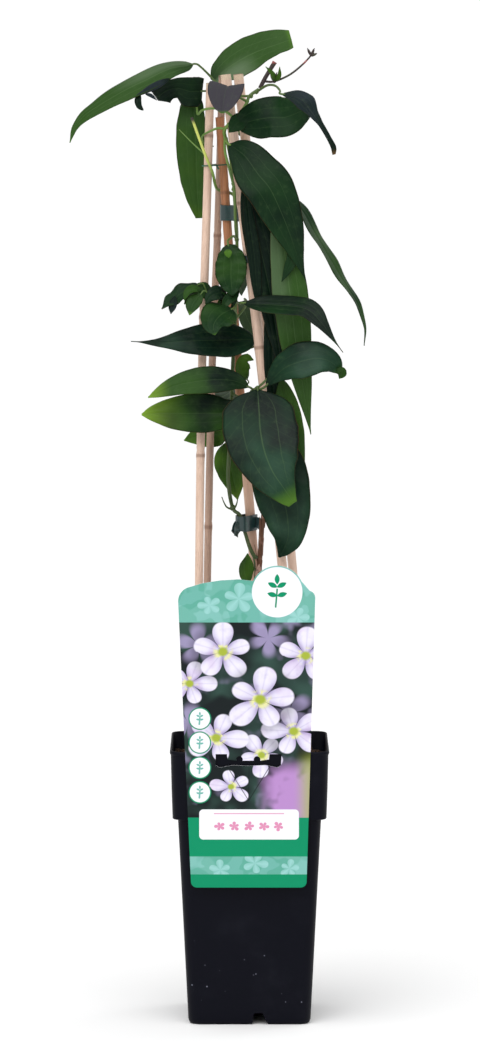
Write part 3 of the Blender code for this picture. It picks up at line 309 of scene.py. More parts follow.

# Blades that the packed model leaves out: flaps, curled young leaves, and two dark strips that
# stand for the shade between the long leaves
SCRAPS = (
    leaf("scrap_top_hook", ((-82.5, -18, 702), (-83.5, -21, 697), (-82.5, -22, 692.5),
                            (-79.5, -22.5, 689.5)), width=5.5,
         face=(-0.3, -0.9, 0.2), tip_power=0.6, look="shade", wave=0.1),
    leaf("scrap_top_fold", ((-60, -15.5, 713), (-68, -18, 709), (-76, -20, 705),
                            (-86, -21.5, 699.5)), width=6,
         face=(0.1, -0.9, -0.35), look="navy", wave=0.2),
    leaf("scrap_top_spike", ((-78, -19.5, 701.5), (-74, -19, 700.5), (-69.5, -18, 697)), width=3,
         face=(0, -0.9, 0.3), look="navy", wave=0.1),
    leaf("scrap_crumpled", ((-25, -17, 549), (-31, -24, 553.5), (-41, -27.5, 553),
                            (-49, -29, 544.5)), width=15,
         face=(-0.1, -0.8, 0.5), widest=0.5, look="mid", wave=1.3, waves=2.5),
    leaf("scrap_folded", ((-17, -24, 549), (-22, -30, 553), (-29, -34, 551), (-33, -36, 545)),
         width=12, face=(0.1, -0.9, 0.4), widest=0.5, look="dark", wave=1.1, waves=2),
    leaf("scrap_curled", ((-18, -22, 541), (-21, -27, 549), (-25, -30, 554)), width=9,
         face=(0.4, -0.9, 0.2), widest=0.5, cup=0.5, look="mid", wave=0.4),
    leaf("scrap_edge", ((-14, -24, 541), (-12, -25, 550), (-16.5, -25, 559)), width=5,
         face=(0.6, -0.8, 0), widest=0.5, cup=0.6, look="mid", wave=0.2),
    leaf("scrap_wide_base", ((-2, -27.5, 683), (-9, -27, 680), (-15.5, -26.5, 673)), width=14,
         face=(0.1, -0.93, 0.3), widest=0.35, look="dark", wave=0.3),
    leaf("scrap_fork", ((-56, -31, 551), (-57.5, -33, 544), (-59, -34, 537.5)), width=7,
         face=(-0.3, -0.7, 0.5), widest=0.5, look="navy", wave=0.3),
    leaf("scrap_notch", ((-16.5, -31, 586), (-16, -32, 582.5), (-15.5, -32, 579.5)), width=6,
         face=(0, -0.9, 0.4), widest=0.4, look="fresh", wave=0.2),
    leaf("scrap_rim_left", ((-37, -33.5, 553), (-40, -36, 556), (-46, -38, 554),
                            (-49, -38, 548)), width=7,
         face=(-0.2, -0.8, 0.5), widest=0.5, cup=0.4, look="mid", wave=0.8, waves=2),
    leaf("scrap_rim_right", ((-9, -22, 556), (-12, -26, 551), (-17, -29, 547), (-21, -30, 540)),
         width=8, face=(0.2, -0.9, 0.3), widest=0.5, cup=0.4, look="mid", wave=0.9, waves=2.5),
    # Painted shade: two dark strips put where there is only shade beside the long dark leaf
    leaf("scrap_shadow_upper", ((-2.5, -29, 628), (0, -29.5, 605), (3.2, -29.5, 583),
                                (5.4, -30, 557), (7, -30, 543)), width=10,
         face=(0.1, -0.98, 0.1), widest=0.5, base_power=0.4, tip_power=0.5, look="shade",
         wave=0.2),
    leaf("scrap_shadow_lower", ((16, -24, 550), (16.5, -25, 527), (17, -25, 505),
                                (17.5, -25.5, 485), (18.5, -26, 462)), width=13,
         face=(0.1, -0.98, 0.1), widest=0.5, base_power=0.4, tip_power=0.5, look="shade",
         wave=0.3),
    leaf("scrap_tip_curl", ((65, -52.5, 497.5), (69.5, -51, 495.5), (67, -48, 490)), width=8,
         face=(-0.4, -0.9, -0.2), widest=0.4, cup=0.4, look="mid", wave=0.3),
    leaf("scrap_bud_leaf", ((18.5, -18, 711), (17.5, -21, 716), (12, -23, 722)), width=4,
         face=(0.3, -0.9, 0.2), look="olive", wave=0.1),
    leaf("scrap_bud_leaf_right", ((18.5, -18, 711), (22, -21, 715), (22.5, -22, 722)), width=3.6,
         face=(0.3, -0.9, 0.2), look="olive", wave=0.1),
)

MAIN_STEM = (
    (5.4, -9, 351.5), (3.4, -10.7, 353), (0, -11.5, 360), (-3, -11, 369.5), (-7.2, -10.2, 383.5),
    (-12.8, -9, 389.5), (-16, -9, 409), (-15.5, -9, 429), (-14, -9, 455), (-13, -9.5, 490),
    (-11, -9.5, 530), (-10, -9, 565), (-9.5, -8, 590), (-11, -7, 620), (-13, -7, 645),
    (-16, -9, 662), (-19, -13, 673), (-16, -20, 678.5), (-10, -21, 683), (-3, -17, 693),
    (0, -14, 700), (7, -13, 705),
)
SIDE_STEM = (
    (-9.5, -8, 594), (-10.3, -14, 600), (-10.8, -21, 611), (-11.5, -23, 630),
    (-15, -21.5, 645), (-18.5, -16, 659), (-18.5, -12, 671),
)
TENDRILS = (
    (((-18, -14, 675), (-23, -13, 676), (-29, -13, 674), (-35, -11, 670.5), (-35.5, -7, 667),
      (-33, -2, 663.5), (-27, -2, 662)), 1.0),
    (((-33, -17.6, 656), (-43, -15, 665), (-53, -12, 675)), 0.6),
    (((-13, -9, 388), (-17, -11, 390), (-19, -12, 393), (-21, -12, 398)), 0.8),
    (((-12, -9.5, 388), (-10, -12, 392), (-9, -13, 396)), 0.9),
    (((-13, -9.5, 389), (-15, -11.5, 396), (-14, -12, 401)), 0.8),
)
CUT_STUB = ((-11, -7, 624), (-13, 3, 626), (-18.5, 6.2, 628), (-24, 3, 629.5), (-26, -6, 634),
            (-28, -14.5, 643), (-34, -18, 658), (-43.5, -15, 684))
WOODY_STEM = (
    (18, -9, 186), (14, -8.5, 230), (10.5, -8, 280), (8, -7.5, 325), (7.5, -7, 345),
    (9, -6.5, 365), (10.5, -6, 385),
)
BARK_BUD = ((7, -9.5, 333), (6.2, -12, 339), (7.5, -12.5, 347))
TOP_CUT_STEM = ((7.8, -13, 705.8), (12, -13, 714), (19, -13, 725.5))
TOP_THIN_SHOOT = ((10.5, -13, 711), (18.5, -17, 711), (30, -20, 716), (40, -22.5, 724),
                  (46.5, -24, 731))
TOP_BUDS = (
    ((46, -24, 730), (48.5, -24, 736)),
    ((46, -24, 730), (43, -26, 736)),
    ((46, -24, 730), (50.5, -25, 732)),
    ((18.5, -17, 711), (20.5, -19, 718)),
    ((18.5, -17, 711), (15.5, -19, 716)),
)

Cane = namedtuple("Cane", "name route foot_radius top_radius joints")
CANES = (
    Cane("cane_front_left",
         ((-40, -43, 114), (-38, -31, 344), (-35.7, -19, 498), (-32, -11, 622),
          (-29.5, -4.6, 709.5)),
         3.0, 3.1, (0.12, 0.3, 0.52, 0.7, 0.93)),
    Cane("cane_back_left",
         ((-36, 42, 114), (-32, 31, 340), (-28.3, 20.5, 496), (-24.3, 13, 593), (-20.5, 8, 715)),
         2.9, 2.7, (0.2, 0.42, 0.61, 0.8)),
    Cane("cane_centre",
         ((21.5, 0, 114), (4, 0, 341), (-3, 0, 425), (-9.1, 0, 500), (-16.3, 0, 595),
          (-22.5, 0, 684)),
         3.9, 3.2, (0.1, 0.26, 0.44, 0.6, 0.75, 0.9)),
    Cane("cane_front_right",
         ((43, -42, 114), (40, -39, 190), (25.3, -31, 341), (5.4, -21.5, 529), (-18, -12, 716)),
         3.3, 3.9, (0.22, 0.47, 0.66, 0.84)),
    Cane("cane_back_right",
         ((47, 41, 114), (45, 38, 190), (32.5, 29, 345), (11, 17, 540), (-8.5, 6, 716)),
         3.1, 3.7, (0.16, 0.36, 0.55, 0.74, 0.9)),
)

# Ties, in millimetres and radians: a rod is (x, y, radius), and a loose end a route and a width
Tape = namedtuple("Tape", "name rods low high thickness ends")
TAPES = (
    Tape("tie_tape_upper", ((-17.5, 0, 3.9), (-10.6, -7.3, 2.0)), 606, 618, 0.5,
         ((((-8.5, -8.6, 612), (-6.6, -7.6, 611.5), (-5.6, -5.6, 611)), 9),)),
    Tape("tie_small_right", ((-0.8, -19.2, 4.2),), 575, 581, 0.5, ()),
    Tape("tie_tape_lower", ((1, 0, 4.2), (-5.6, -10.4, 4.2)), 372, 383.5, 0.55,
         ((((-7.5, -14.6, 377), (-9.5, -16, 373), (-10.2, -17.4, 368.5)), 7),
          (((-9.2, -13, 378), (-11.2, -15, 374.5), (-12.4, -17, 371)), 6),
          (((4.6, -3, 378), (7.2, -4.6, 377.4), (9.6, -5.4, 375.5)), 8))),
)
TAPE_CLEARANCE = 0.35
TAPE_ROWS = 6
WIRE_RODS = ((-31.2, -9.1, 3.5), (-22.6, 10.7, 3.0), (-20, 0, 3.7))
WIRE_CLEARANCE = 0.9
WIRE_RADIUS = 0.5
WIRE_HEIGHT = 648
WIRE_SLOPE = 0.04
TWIST_STEPS = 13
TWIST_TURN = 1.1
TWIST_REACH = 0.4

# Strips of bark that peel off the old stem
BARK_STRIPS = 9

# Pot and soil, in millimetres
RIM_HEIGHT = 210.0
RIM_HALF = 60.0
COLLAR_FOOT = 158.0
COLLAR_FOOT_HALF = 58.0
BODY_TOP_HALF = 54.0
BASE_HALF = 46.2
POT_WALL = 1.5
POT_CORNER = 9.0
FLOOR_UNDERSIDE = 10.5
FLOOR_TOP = 13.0
NOTCH_HEIGHT = 9.0
NOTCH_FOOT = (1.9, 14.9)
NOTCH_TOP = (3.8, 9.7)
SOIL_HEIGHT = 196.0
SOIL_LUMP = 1.6
SOIL_CLEARANCE = 0.4
SOIL_RINGS = 34

# Label, in millimetres: its edge, and the bands and badges printed on it
LABEL_FRONT = -60.3
LABEL_THICKNESS = 0.8
LABEL_FOOT = 107.5
LABEL_TOP = 340.5
LABEL_FOOT_HALF = 43.5
LABEL_TOP_HALF = 51.3
LABEL_FOOT_MIDDLE = -0.6
LABEL_TOP_MIDDLE = -2.2
LABEL_CORNER = 4.5
LABEL_SHOULDER = 11.0
LABEL_SHOULDER_HEIGHT = 324
RIGHT_SHOULDER_CENTRE = (43.5, 326.5)
RIGHT_SHOULDER = 5.6
HOOK_HALF = 18
DISC_CENTRE = (20.6, 330.8)
DISC_RADIUS = 19.9
PICTURE = (160.6, 308.1)
STRIP = (117.5, 131.1)
PANEL = (-0.4, 155.4, 37.4, 11.4)
BADGE_X = -37.3
BADGE_RADIUS = 8.5
BADGES = (235.5, 217.4, 198.4, 179.8)
SCORE_LINES = ((-17.6, 200.7), (16.5, 201.5), (-0.7, 173.5))
FAR_BLOSSOMS = ((-38, 291, 18, 0.2), (14, 296, 16, 0.7), (-46, 232, 17, 0.4), (30, 240, 18, 0.9))
BLOSSOMS = (
    (-45, 262, 21, 0.5), (9, 208, 19, 0.8), (42, 283, 24, 0.3), (-20, 286, 25, 0.25),
    (33, 226, 24, 0.05), (-25, 221, 24, 0.55), (8, 250, 28, 0.4), (-14, 184, 16, 0.1),
)
BAND_BLOSSOMS = ((-8, 326, 13, 0.3), (-30, 321, 9, 0.0), (36, 312, 9, 0.5))
STRIP_BLOSSOMS = ((-22, 121, 9, 0.2), (4, 126, 10, 0.6), (30, 122, 8, 0.4))
PETALS = 5
PRINT_EDGE = 0.2
TWIG_WIDTH = 0.9

# Studio: sizes and places in metres, and the colour that mottles the floor
FLOOR_SIZE = 400.0
FLOOR_MOTTLE = (236, 236, 238)
LAMP_TARGET = (0, 0, 0.4)


class FoliageSettings(bpy.types.PropertyGroup):
    """Sizes and colours of the leaves and stems."""

    thickness: size("Blade thickness", "Thickness of a leaf blade at its middle", 0.00055)
    groove: size("Rib groove", "Depth of the channel along a leaf's midrib", 0.0004)
    row: size("Row spacing", "Length of a leaf between two rows of its mesh", 0.0018, 0.0005)
    shade_green: colour("Shade green", "Darkest leaf green", (8, 25, 17))
    dark_green: colour("Dark green", "Green of most leaves", (20, 47, 22))
    teal_green: colour("Teal green", "Bluish green of the glossiest leaves", (22, 51, 32))
    mid_green: colour("Mid green", "Green of leaves in the light", (42, 72, 26))
    band_green: colour("Band green", "Green of the large leaf at the top", (50, 80, 34))
    fresh_green: colour("Fresh green", "Green of young leaves", (76, 114, 34))
    # Painted sheen: a milky cast that stands for the sheen on large leaves
    painted_sheen: colour("Milk", "Milky cast on two large leaves", (92, 112, 84))
    # Painted highlight: a glossy sheen painted into the colour of the glossiest leaves
    painted_highlight: colour("Gleam", "Waxy bloom on the glossiest leaves", (84, 110, 98))
    tip_green: colour("Tip green", "Yellow-green of some leaf tips", (116, 150, 44))
    rib_green: colour("Rib green", "Colour of the veins", (92, 120, 76))
    olive_green: colour("Olive green", "Warm green of a few leaves", (54, 84, 22))
    plum: colour("Plum", "Purple cast on a few dark leaves", (22, 31, 27))
    # Painted shade: blue-grey for the leaves turned away from the light
    navy: colour("Navy", "Blue-grey of the leaves turned away", (34, 43, 49))
    underside: colour("Underside", "Dull grey-green under a leaf", (62, 80, 56))
    # Painted reflection: the grey a glossy leaf shows at a grazing angle, painted on the heart
    # leaf's upper side
    grey_reflection: colour("Grey underside", "Grey of the leaf seen from below", (58, 56, 62))
    margin: colour("Margin", "Thin dry edge of a leaf", (98, 74, 40))
    stem_green: colour("Stem green", "Young stems and stalks", (100, 134, 54))
    stem_olive: colour("Stem olive", "Older green stem", (56, 74, 30))
    stub_yellow: colour("Stub yellow", "The cut side shoot", (188, 196, 96))
    shoot_brown: colour("Shoot brown", "The cut stem and the buds at the top", (44, 30, 28))
    shoot_red: colour("Shoot red", "The cut end of the top stem", (138, 66, 62))


class CaneSettings(bpy.types.PropertyGroup):
    """Colours of the canes and what ties them."""

    sides: IntProperty(name="Cane sides", description="Facets round a cane", default=28, min=8)
    pale: colour("Pale cane", "Sun side of the corner canes", (216, 186, 166))
    # Painted shade: tan and dull also colour the whole cane at the back left, a darker copy of the
    # other corner canes for the shade it stands in
    tan: colour("Tan cane", "Streaks in the corner canes", (176, 144, 124))
    dull: colour("Dull cane", "Streaks in the cane at the back left", (122, 100, 88))
    orange: colour("Orange cane", "The centre cane", (176, 118, 78))
    umber: colour("Umber", "Rings at the joints and dark streaks", (104, 66, 44))
    cut: colour("Cut end", "Fresh end of a cane", (236, 214, 186))
    wire: colour("Wire", "Coated wire near the top", (22, 92, 66))
    tape: colour("Tape", "Plastic tape round stem and cane", (24, 52, 52))
    bark: colour("Bark", "Old stem under its peeling strips", (86, 62, 44))
    bark_pale: colour("Peeling bark", "Edges of the peeling strips", (172, 134, 118))


class LabelSettings(bpy.types.PropertyGroup):
    """Colours printed on the hang label."""

    mint: colour("Mint", "Band across the top", (106, 172, 160))
    mint_pale: colour("Pale mint", "Petals on the mint bands", (148, 200, 196))
    emerald: colour("Emerald", "Bands below the picture", (0, 136, 94))
    ground: colour("Ground", "Dark leaves behind the flowers", (18, 26, 28))
    ground_green: colour("Ground green", "Lit leaves behind the flowers", (48, 74, 66))
    lilac: colour("Lilac", "Blurred flowers in the lower corner", (176, 134, 192))
    petal: colour("Petal", "Flower petals", (226, 222, 238))
    petal_shade: colour("Petal shade", "Petals where they meet", (166, 154, 194))
    throat: colour("Throat", "Middle of a flower", (158, 172, 60))
    stamen: colour("Stamen", "Pale threads round a flower's middle", (222, 222, 150))
    white: colour("White", "Disc, panel and badges", (232, 232, 238))
    pink: colour("Pink", "Line on the panel", (206, 92, 148))


class PotSettings(bpy.types.PropertyGroup):
    """Colours of the pot and its soil, and how much is strewn on it."""

    plastic: colour("Pot plastic", "Black plastic of the pot", (7, 8, 18))
    dust: colour("Dust", "Pale specks on the pot", (110, 112, 126))
    soil: colour("Soil", "Damp compost", (44, 32, 25))
    soil_light: colour("Dry soil", "Dry fibres and crumbs", (104, 78, 58))
    crumbs: IntProperty(name="Crumbs", description="Lumps strewn on the soil", default=900, min=0)


class StudioSettings(bpy.types.PropertyGroup):
    """Camera and light of the studio."""

    distance: size("Camera distance", "From the pot's middle to the camera", 4.0)
    height: size("Camera height", "Height of the camera over the floor", 0.7605)
    aside: FloatProperty(name="Camera aside", description="Camera's place to the right",
                         default=-0.0072, unit="LENGTH", precision=5)
    pitch: FloatProperty(name="Camera pitch", description="How far the camera looks down",
                         default=math.radians(5.52), subtype="ANGLE")
    lens: FloatProperty(name="Lens", description="Focal length in millimetres", default=180.96)
    sky: share("Sky light", "Strength of the surroundings overhead", 0.62)
    horizon: share("Horizon", "Strength of the white band where floor and air meet", 1.1)
    sun: share("Soft sun", "Strength of the wide light from above", 1.8)
    key: share("Key light", "Power of the large lamp at the front left", 10.0)
    rim: share("Rim light", "Power of the lamp at the back right", 6.0)
    floor: colour("Floor", "Pale floor", (250, 250, 250))


SETTINGS = {
    "clematis_foliage": FoliageSettings,
    "clematis_canes": CaneSettings,
    "clematis_label": LabelSettings,
    "clematis_pot": PotSettings,
    "clematis_studio": StudioSettings,
}


class Path:
    """A smooth curve through a few points, followed by the share t of its length."""

    def __init__(self, points):
        self.points = [mm(point) for point in points]
        self.lengths = [0.0]
        for first, second in zip(self.points, self.points[1:]):
            self.lengths.append(self.lengths[-1] + (second - first).length)
        self.length = self.lengths[-1]

    def at(self, t):
        far = min(max(t, 0.0), 1.0) * self.length
        span = 0
        while span < len(self.points) - 2 and far > self.lengths[span + 1]:
            span += 1
        part = (far - self.lengths[span]) / (self.lengths[span + 1] - self.lengths[span])
        start, end = self.points[span], self.points[span + 1]
        before = self.points[span - 1] if span else start * 2 - end
        after = self.points[span + 2] if span + 2 < len(self.points) else end * 2 - start
        return 0.5 * (
            start * 2
            + (end - before) * part
            + (before * 2 - start * 5 + end * 4 - after) * part**2
            + (start * 3 - before - end * 3 + after) * part**3
        )

    def heading(self, t):
        step = 0.01
        return (self.at(t + step) - self.at(t - step)).normalized()


class Value:
    """A number that varies over a surface. Python's operators on it add Math nodes."""

    def __init__(self, shade, socket):
        self.shade = shade
        self.socket = socket

    def __add__(self, other):
        return self.shade.math("ADD", self, other)

    def __radd__(self, other):
        return self.shade.math("ADD", other, self)

    def __sub__(self, other):
        return self.shade.math("SUBTRACT", self, other)

    def __rsub__(self, other):
        return self.shade.math("SUBTRACT", other, self)

    def __mul__(self, other):
        return self.shade.math("MULTIPLY", self, other)

    def __rmul__(self, other):
        return self.shade.math("MULTIPLY", other, self)

    def __truediv__(self, other):
        return self.shade.math("DIVIDE", self, other)

    def __pow__(self, other):
        return self.shade.math("POWER", self, other)

    def __abs__(self):
        return self.shade.math("ABSOLUTE", self)

    def rise(self, low, high):
        """0 below low, 1 above high, smooth between. A low above high turns it round."""
        node = self.shade.node("ShaderNodeMapRange", {"interpolation_type": "SMOOTHSTEP"},
                               {"Value": self, "From Min": low, "From Max": high})
        return Value(self.shade, node.outputs["Result"])


class Shade:
    """A finish in the making: a material or a world, its node tree and its shader."""

    def __init__(self, name, owner=None, shader="Principled BSDF"):
        self.material = owner or bpy.data.materials.new(name)
        self.material.use_nodes = True
        self.tree = self.material.node_tree
        self.shader = self.tree.nodes[shader]

    def feed(self, socket, value):
        if isinstance(value, Value):
            self.tree.links.new(value.socket, socket)
        elif isinstance(value, bpy.types.NodeSocket):
            self.tree.links.new(value, socket)
        else:
            socket.default_value = value

    def node(self, kind, settings=None, inputs=None):
        """Adds a node, sets it up, and feeds its sockets with numbers, colours or links."""
        node = self.tree.nodes.new(kind)
        for name, value in (settings or {}).items():
            setattr(node, name, value)
        for key, value in (inputs or {}).items():
            self.feed(node.inputs[key], value)
        return node

    def math(self, operation, *terms):
        node = self.node("ShaderNodeMath", {"operation": operation}, dict(enumerate(terms)))
        return Value(self, node.outputs[0])

    def mix(self, factor, first, second):
        """A colour between two, each a colour triple or a colour socket."""
        ends = [end if isinstance(end, bpy.types.NodeSocket) else (*end, 1.0)
                for end in (first, second)]
        node = self.node("ShaderNodeMix", {"data_type": "RGBA"},
                         {0: factor, 6: ends[0], 7: ends[1]})
        return node.outputs[2]

    def place(self):
        """Where a point of the piece is, in metres, in the frame's axes."""
        return self.node("ShaderNodeTexCoord").outputs["Object"]

    def axes(self, vector):
        parts = self.node("ShaderNodeSeparateXYZ", None, {0: vector}).outputs
        return [Value(self, part) for part in parts]

    def stretched(self, vector, factors):
        node = self.node("ShaderNodeVectorMath", {"operation": "MULTIPLY"}, {0: vector, 1: factors})
        return node.outputs[0]

    def along(self):
        """The mesh's own coordinates: across or round a piece, and along it, each 0 to 1."""
        uv = self.node("ShaderNodeUVMap", {"uv_map": "along"}).outputs[0]
        return self.axes(uv)[:2]

    def noise(self, vector, scale, detail=3.0, roughness=0.5):
        node = self.node("ShaderNodeTexNoise", None,
                         {"Vector": vector, "Scale": scale, "Detail": detail,
                          "Roughness": roughness})
        return Value(self, node.outputs[0])

    def cells(self, vector, scale):
        """Distance to the middle of the nearest cell."""
        node = self.node("ShaderNodeTexVoronoi", None, {"Vector": vector, "Scale": scale})
        return Value(self, node.outputs["Distance"])

    def finish(self, base, roughness, height=None, relief=0.0002, strength=0.5, **constants):
        """Feeds the shader; relief is the bump's depth in metres, constants are fixed sockets."""
        self.feed(self.shader.inputs["Base Color"], base)
        self.feed(self.shader.inputs["Roughness"], roughness)
        if height is not None:
            bump = self.node("ShaderNodeBump", None,
                             {"Height": height, "Distance": relief, "Strength": strength})
            self.feed(self.shader.inputs["Normal"], bump.outputs[0])
        for name, value in constants.items():
            self.shader.inputs[name.replace("_", " ")].default_value = value
        return self.material


def new_object(name, bm, materials):
    """A mesh object in the scene made of a bmesh, smooth shaded."""
    mesh = bpy.data.meshes.new(name)
    bm.to_mesh(mesh)
    bm.free()
    for material in materials:
        mesh.materials.append(material)
    mesh.shade_smooth()
    obj = bpy.data.objects.new(name, mesh)
    bpy.context.scene.collection.objects.link(obj)
    return obj


def settle(obj, slot, *nodes):
    """Makes a piece ride the plant and hides the packed nodes it stands for; slot, the finish it
    would take, is not used.
    """
    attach(obj, BODY)
    if nodes:
        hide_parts(*nodes)


def sharpen(obj, degrees=35):
    obj.data.set_sharp_from_angle(angle=math.radians(degrees))


def cut(obj, cutters):
    """Cuts the cutter objects out of obj, and removes them."""
    for cutter in cutters:
        boolean = obj.modifiers.new("Cut", "BOOLEAN")
        boolean.operation = "DIFFERENCE"
        boolean.solver = "EXACT"
        boolean.object = cutter
    graph = bpy.context.evaluated_depsgraph_get()
    mesh = bpy.data.meshes.new_from_object(obj.evaluated_get(graph))
    obj.modifiers.clear()
    obj.data = mesh
    for cutter in cutters:
        bpy.data.objects.remove(cutter)


def wobble(point, scale, depth):
    """A smooth random offset in metres, for a point in metres."""
    return noise.noise(point * scale) * depth


def skin(bm, lower, upper):
    """Adds a quad at each step between two closed loops of equal count, and returns them."""
    faces = []
    for i in range(len(lower)):
        j = (i + 1) % len(lower)
        faces.append(bm.faces.new((lower[i], lower[j], upper[j], upper[i])))
    return faces


def add_tube(bm, route, radius, sides, spacing, bend=None):
    """Adds a closed round tube along a route, with its radius in mm a number or made by a share.

    bend, if given, turns (share, angle) into a factor on the radius.
    """
    path = Path(route)
    rings = max(3, round(path.length / (spacing * MM)))
    grid = bm.loops.layers.uv.get("along") or bm.loops.layers.uv.new("along")
    heading = path.heading(0)
    side = heading.orthogonal().normalized()
    loops = []
    for ring in range(rings + 1):
        t = ring / rings
        turned = path.heading(t)
        side = (heading.rotation_difference(turned) @ side).normalized()
        heading = turned
        other = heading.cross(side)
        reach = radius(t) if callable(radius) else radius
        loop = []
        for step in range(sides):
            angle = math.tau * step / sides
            factor = bend(t, angle) if bend else 1.0
            spoke = side * math.cos(angle) + other * math.sin(angle)
            loop.append(bm.verts.new(path.at(t) + spoke * reach * factor * MM))
        loops.append(loop)
    for ring in range(rings):
        for step, face in enumerate(skin(bm, loops[ring], loops[ring + 1])):
            corners = ((step, ring), (step + 1, ring), (step + 1, ring + 1), (step, ring + 1))
            for corner, (around, far) in zip(face.loops, corners):
                corner[grid].uv = (around / sides, far / rings)
    for loop, far in ((loops[0][::-1], 0.0), (loops[-1], 1.0)):
        for corner in bm.faces.new(loop).loops:
            corner[grid].uv = (0.5, far)


def taper(start, end):
    return lambda t: start + (end - start) * t


def bud_radius(widest):
    """The radius along a plump pointed bud."""
    return lambda t: max(0.12, widest * math.sin(math.pi * min(1.0, t * 0.86 + 0.14)) ** 0.8)


def arc(centre, radius, first, last, steps):
    """Points on a round stretch of an outline, between two angles in degrees."""
    return [
        (centre[0] + radius * math.cos(math.radians(first + (last - first) * step / steps)),
         centre[1] + radius * math.sin(math.radians(first + (last - first) * step / steps)))
        for step in range(steps + 1)
    ]


def rounded_square(half, corner, steps=8):
    """Points round a square with rounded corners, anticlockwise seen from above."""
    ring = []
    for quarter, (sx, sy) in enumerate(((1, 1), (-1, 1), (-1, -1), (1, -1))):
        middle = ((half - corner) * sx, (half - corner) * sy)
        ring += arc(middle, corner, quarter * 90, quarter * 90 + 90, steps)
    return ring


def loft(name, rings, materials):
    """A closed solid through rings of equal count, each a list of (x, y, z) in mm."""
    bm = bmesh.new()
    loops = [[bm.verts.new(mm(point)) for point in ring] for ring in rings]
    for lower, upper in zip(loops, loops[1:]):
        skin(bm, lower, upper)
    bm.faces.new(reversed(loops[0]))
    bm.faces.new(loops[-1])
    bmesh.ops.recalc_face_normals(bm, faces=bm.faces)
    return new_object(name, bm, materials)


def hull(points):
    """The convex outline of points in a plane, anticlockwise."""
    points = sorted(set(points))
    outline = []
    for sweep in (points, points[::-1]):
        chain = []
        for point in sweep:
            while len(chain) > 1 and (
                (chain[-1][0] - chain[-2][0]) * (point[1] - chain[-2][1])
                - (chain[-1][1] - chain[-2][1]) * (point[0] - chain[-2][0])
            ) <= 1e-9:
                chain.pop()
            chain.append(point)
        outline += chain[:-1]
    return outline


def wrap(circles, clearance, steps=28):
    """A loop pulled tight round several upright rods, each an (x, y, radius)."""
    points = []
    for x, y, radius in circles:
        around = arc((x, y), radius + clearance, 0, 360, steps)
        points += [(round(px, 6), round(py, 6)) for px, py in around]
    return hull(points)


def leaf_colours(look, foliage):
    """The two greens of a look, the colour of its tip, its roughness, and how its veins show."""
    return {
        "shade": (foliage.shade_green, foliage.shade_green, foliage.dark_green, 0.34, 0.1),
        "dark": (foliage.shade_green, foliage.dark_green, foliage.mid_green, 0.32, 0.08),
        "teal": (foliage.shade_green, foliage.teal_green, foliage.mid_green, 0.3, 0.08),
        "purple": (foliage.plum, foliage.teal_green, foliage.fresh_green, 0.3, 0.16),
        "mid": (foliage.dark_green, foliage.mid_green, foliage.fresh_green, 0.36, 0.14),
        "dusk": (foliage.shade_green, foliage.mid_green, foliage.tip_green, 0.32, 0.1),
        "olive": (foliage.mid_green, foliage.olive_green, foliage.olive_green, 0.42, 0.1),
        "band": (foliage.mid_green, foliage.band_green, foliage.fresh_green, 0.38, 0.2),
        "pale": (foliage.mid_green, foliage.band_green, foliage.fresh_green, 0.42, 0.26),
        "fresh": (foliage.mid_green, foliage.fresh_green, foliage.tip_green, 0.4, 0.2),
        "plum": (foliage.plum, foliage.dark_green, foliage.margin, 0.34, 0.14),
        # Painted shade: the blue-grey look of leaves turned away from the light
        "navy": (foliage.navy, foliage.shade_green, foliage.margin, 0.36, 0.1),
        # Painted reflection: grey painted on an upper side for the sky it reflects at a grazing
        # angle
        "grey": (foliage.grey_reflection, foliage.grey_reflection, foliage.fresh_green, 0.62, 0.06),
    }[look]


